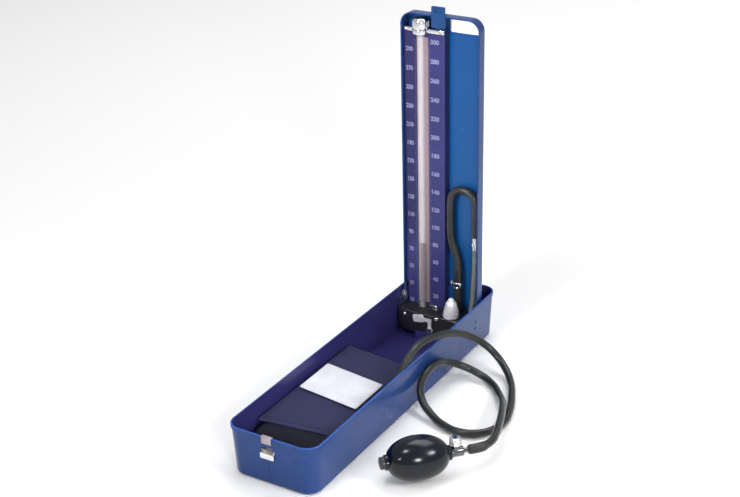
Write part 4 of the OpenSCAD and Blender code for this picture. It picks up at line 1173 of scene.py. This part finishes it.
class GAUGE_OT_cuff(bpy.types.Operator):
    """Rolled cuff, the hemmed end of its cloth on top, and the bare label"""
    bl_idname = "gauge.cuff"
    bl_label = "Cuff"

    low, high = (-42, -159, 1.5), (38, 36, 36)
    slope = 9 / 80
    turns = (8.6, 15.4, 22.2, 28.6)
    free_end, skew, top = -136, 0.26, 36.4

    def fall(self, x):
        """How much lower the cuff lies at x than at its left side."""
        return (x - self.low[0]) * self.slope

    def slant(self, obj):
        """Lowers the right side of a shape drawn level with the cuff's left side."""
        for vertex in obj.data.vertices:
            vertex.co.z -= self.fall(vertex.co.x / MM) * MM * min(1.0, vertex.co.z / MM / 30)
        return obj

    def stuffed(self, obj, voxel, cap, frames=20):
        """Stuffs the piece with a cloth simulation, and keeps each point within a cap."""
        modify(obj, "REMESH", mode="VOXEL", voxel_size=voxel * MM)
        start = [v.co.copy() for v in obj.data.vertices]
        activate(obj)
        cloth = obj.modifiers.new("Cloth", "CLOTH")
        cloth.settings.use_pressure = True
        cloth.settings.uniform_pressure_force = gauge().cuff.pressure
        cloth.settings.quality = 5
        cloth.settings.effector_weights.gravity = 0
        scene = bpy.context.scene
        for step in range(1, frames + 1):
            scene.frame_set(step)
        bpy.ops.object.modifier_apply(modifier=cloth.name)
        scene.frame_set(1)
        for vertex, old in zip(obj.data.vertices, start):
            moved = vertex.co - old
            if moved.length > cap * MM:
                vertex.co = old + moved.normalized() * cap * MM
        return obj

    def roll(self):
        """The turns of cloth under the last one, with their edges on the sides and the end."""
        x0, y0, z0 = self.low
        x1, y1, z1 = self.high
        body = block("cuff_roll", (x0 + 2.2, y0 + 2, z0), (x1 - 2.2, y1 - 3.5, z1 - 4.2))
        across = running("x")
        rounded(body, lambda e: across(e) and middle(e).y < 0 and middle(e).z > 0.02, 17, 7)
        rounded(body, lambda e: across(e) and middle(e).y > 0.03, 11, 6)
        rounded(body, lambda e: across(e) and middle(e).y < -0.155 and middle(e).z < 0.005, 7, 4)
        self.stuffed(body, 4, 2)
        modify(body, "SUBSURF", levels=1, render_levels=1)
        for vertex in body.data.vertices:
            p = vertex.co / MM
            depth = 0.0
            for seam in self.turns:
                drift = seam + 1.3 * noise.noise(Vector((p.y * 0.02, seam, p.x * 0.02)))
                depth += math.exp(-((p.z - drift) / 0.9) ** 2)
            side = share((abs(p.x - (x0 + x1) / 2) - 34) / 5)
            end = share((abs(p.y - (y0 + y1) / 2) - 78) / 8)
            p.x -= math.copysign(1.7 * depth * side, p.x - (x0 + x1) / 2)
            p.y -= math.copysign(1.5 * depth * end, p.y - (y0 + y1) / 2)
            p.z += 0.6 * noise.noise(p * 0.045) * (p.z > 20)
            for axis in range(3):
                p[axis] = max(self.low[axis], min(self.high[axis], p[axis]))
            p.z = min(p.z, z1 - 2.4)
            vertex.co = p * MM
        return smooth(self.slant(body), 70)

    def flap(self):
        """Last turn of the cloth: over the top and down round the hinge end, with a hem."""
        flat = [(y, 34.3) for y in (-134, -100, -60, -20, 5)]
        path = [(self.free_end, 33.9), *flat, (18, 34.1)]
        arc = [k * math.pi / 12 for k in range(1, 7)]
        path += [(18.5 + 14.2 * math.sin(t), 19.9 + 14.2 * math.cos(t)) for t in arc]
        path += [(32.7, 12)]
        x0, x1 = self.low[0] + 0.6, self.high[0] - 0.6
        flap = pencil((x0, *path[0]))
        trace([(x0, *path[0]), (x1, *path[0])])
        trace([(x1, *point) for point in path])
        bpy.ops.mesh.normals_make_consistent(inside=False)
        bpy.ops.object.mode_set(mode="OBJECT")
        if flap.data.polygons[2].normal.z < 0:
            with Editing(flap) as edit:
                edit.everything()
                bpy.ops.mesh.flip_normals()
        walled(flap, 1.7)
        softened(flap, 0.7, angle=1)
        modify(flap, "SUBSURF", subdivision_type="SIMPLE", levels=3, render_levels=3)
        for vertex in flap.data.vertices:
            p = vertex.co / MM
            lead = share((-60 - p.y) / 74)
            p.y += (p.x - x0) * self.skew * lead
            crown = 1 - ((p.x + 2) / 40) ** 2
            p.z += 0.9 * crown + 0.5 * noise.noise(Vector((p.x * 0.05, p.y * 0.03, 4)))
            end = p.y - self.free_end - (p.x - x0) * self.skew
            hem = min(abs(p.x - x0), abs(p.x - x1), end)
            p.z -= 0.45 * math.exp(-((hem - 5) / 0.9) ** 2)
            p.z = min(p.z, self.top)
            vertex.co = p * MM
        flap.name = "cuff_flap"
        return smooth(self.slant(flap), 60)

    def stitches(self, name, start, end, pitch, length, thick):
        """Row of stitches between two points."""
        start, end = mm(*start), mm(*end)
        way = end - start
        count = int(way.length / (pitch * MM))
        dash = eased_rod("dash", (-length / 2, 0, 0), (length / 2, 0, 0), thick, thick * 0.4, 8, 1)
        turn = way.to_track_quat("X", "Z").to_matrix().to_4x4()
        row(dash, count, (pitch * MM, 0, 0))
        dash.matrix_world = Matrix.Translation(start + way.normalized() * pitch * MM / 2) @ turn
        return settle(dash, name)

    def label(self):
        """Bare label sewn on round its edge, over a darker backing whose rim round the label is a
        painted shadow.
        """
        matrix = Matrix.Translation(mm(self.low[0], 0, self.high[2])) @ Matrix.Rotation(
            math.atan(self.slope), 4, "Y")
        made = []
        layers = (("label_piece", 0, 0.05, 0.75), ("label_shadow_backing", 1.3, -0.6, 0.3))
        for name, grow, z0, z1 in layers:
            piece = slab(name, (4 - grow, -71 - grow, z0), (66 + grow, -21 + grow, z1), "z",
                         1.2 + grow, 4)
            rounded(piece, lambda e: middle(e).z > (z1 - 0.05) * MM, 0.2, 2)
            made.append(piece)
        rows = [self.stitches("row", a, b, 2.6, 1.7, 0.24) for a, b in (
            ((6, -69.2, 0.8), (64, -69.2, 0.8)), ((6, -22.8, 0.8), (64, -22.8, 0.8)),
            ((5.8, -69, 0.8), (5.8, -23, 0.8)), ((64.2, -69, 0.8), (64.2, -23, 0.8)))]
        made.append(join("label_stitches", rows))
        for piece in made:
            piece.matrix_world = matrix @ piece.matrix_world
            settle(piece)
        return made

    def execute(self, context):
        roll = self.roll()
        # the roll takes the painted shade, a darker copy of the cuff cloth
        install(roll, "case", "cuff_shade", "cuff")
        flap = self.flap()
        install(flap, "case", "cuff_cloth")
        label, backing, stitches = self.label()
        install(smooth(label), "case", "label_cloth", "cuff_label")
        # painted shadow: dark backing showing round the label's edge
        install(smooth(backing), "case", "cuff_thread", slot="cuff_cloth")
        install(stitches, "case", "label_thread", slot="label_cloth")
        seams = [self.stitches("row", a, b, 3, 2, 0.26) for a, b in (
            ((-37.4, -130, 36.1), (-37.4, 16, 36.1)), ((33.4, -108, 36.1), (33.4, 16, 36.1)),
            ((-37.4, -130, 36.1), (33.4, -111.5, 36.1)))]
        seams = self.slant(join("flap_stitches", seams))
        install(seams, "case", "cuff_thread", slot="cuff_cloth")
        return {"FINISHED"}


class GAUGE_OT_bulb(bpy.types.Operator):
    """Rubber bulb, inlet plug, release valve and knurled knob"""
    bl_idname = "gauge.bulb"
    bl_label = "Bulb"

    centre = Vector((107, -103, 20.5))
    along = Vector((1, 1, 0)).normalized()

    def at(self, distance, rise=0.0):
        return self.centre + self.along * distance + Vector((0, 0, rise))

    def rubber(self):
        """Egg-shaped bulb with a moulded collar at each end."""
        radius, half = 20.5, 29.0
        outline = []
        for k in range(33):
            angle = math.pi * (k / 32 - 0.5)
            outline.append((radius * abs(math.cos(angle)) ** 0.86, half * math.sin(angle)))
        body = [(r, h) for r, h in outline if r > 7.6]
        left = [(4.5, -30.5), (6.6, -30.5), (7, -30.1), (7, -28.4), (7.1, -27.6)]
        right = [(r, -h) for r, h in reversed(left)]
        inner = [(4.5, 24), (10, 20), (17.5, 8), (17.5, -8), (10, -20), (4.5, -24), (4.5, -30.5)]
        return turned("bulb_rubber_body", left + body + right + inner, self.centre, self.along, 96)

    def execute(self, context):
        body = self.rubber()
        install(body, "case", "bulb_rubber", "bulb")
        plug = turned("inlet_plug", [
            (0, 33.4), (1, 33.4), (1, 34.8), (4.7, 34.8), (5.4, 34.5), (5.7, 33.9), (5.7, 30.5),
            (4.5, 30.5), (4.5, 23), (0, 23)], self.centre, -self.along)
        install(plug, "case", "black_plastic", "inlet_valve")
        barrel = turned("valve_barrel", [
            (0.9, 23), (4.5, 23), (4.5, 30.5), (5, 30.5), (5.2, 30.8), (5.2, 32), (4.6, 32.4),
            (4.6, 41.4), (4.2, 42.1), (3.2, 42.5), (2.2, 42.5), (2.2, 46), (2.5, 46.3), (2.1, 48.5),
            (0.9, 48.5), (0.9, 23)], self.centre, self.along)
        boss = turned("boss", [
            (1.65, 2), (3.6, 2), (3.6, 6.5), (3.3, 7.1), (1.65, 7.1), (1.65, 2)], self.at(35))
        install(join("valve_metal", [barrel, boss]), "case", "dark_chrome", "valve_body")
        knob = turned("knob_chrome", [
            (0, 8), (1.6, 8), (1.6, 7.6), (4.6, 7.6), (5.2, 8), (5.3, 8.4), (5.3, 13.2),
            (5.0, 13.9), (4.2, 14.4), (1.2, 14.6), (0, 14.6)], self.at(35), steps=72)
        ridges = teeth(block("ridge", (5.1, -0.25, 8.3), (5.6, 0.25, 13.4)), self.at(35), 30)
        install(join("knob_chrome", [knob] + ridges), "knob", "chrome_trim", "release_knob")
        return {"FINISHED"}


class GAUGE_OT_metalwork(bpy.types.Operator):
    """Finishes for the CAD nodes that are kept as they are"""
    bl_idname = "gauge.metalwork"
    bl_label = "Kept parts"

    def execute(self, context):
        # painted shade: the lid stop gets the dark inside colour
        clothe(CAD["lid_stop"], "stop_enamel")
        for node, slot in SLOT_OF.items():
            if node not in {"scale_plate", "tube_backing", "lid_stop"}:
                clothe(CAD[node], slot)
        return {"FINISHED"}


OPERATORS = (
    GAUGE_OT_stage, GAUGE_OT_bulb_hose, GAUGE_OT_air_lines, GAUGE_OT_tray, GAUGE_OT_lid,
    GAUGE_OT_scale, GAUGE_OT_tube, GAUGE_OT_reservoir, GAUGE_OT_screws, GAUGE_OT_latch,
    GAUGE_OT_cuff, GAUGE_OT_bulb, GAUGE_OT_metalwork,
)


class GAUGE_PT_panel(bpy.types.Panel):
    """Sizes, colours and steps of the sphygmomanometer"""
    bl_idname = "GAUGE_PT_panel"
    bl_label = "Sphygmomanometer"
    bl_space_type = "VIEW_3D"
    bl_region_type = "UI"
    bl_category = "Gauge"

    def draw(self, context):
        settings = context.scene.gauge
        for title, group in (("Case", settings.case), ("Scale", settings.scale),
                             ("Cuff", settings.cuff), ("Stage", settings.stage)):
            box = self.layout.box()
            box.label(text=title)
            for name in group.bl_rna.properties.keys():
                if name not in {"rna_type", "name"}:
                    box.prop(group, name)
        for operator in OPERATORS:
            self.layout.operator(operator.bl_idname)


CLASSES = (CaseSettings, ScaleSettings, CuffSettings, StageSettings, GaugeSettings) + OPERATORS + (
    GAUGE_PT_panel,)


def register():
    for cls in CLASSES:
        bpy.utils.register_class(cls)
    bpy.types.Scene.gauge = bpy.props.PointerProperty(type=GaugeSettings)


def unregister():
    del bpy.types.Scene.gauge
    for cls in reversed(CLASSES):
        bpy.utils.unregister_class(cls)


def main():
    register()
    for operator in OPERATORS:
        group, name = operator.bl_idname.split(".")
        getattr(getattr(bpy.ops, group), name)()


if __name__ == "__main__":
    main()
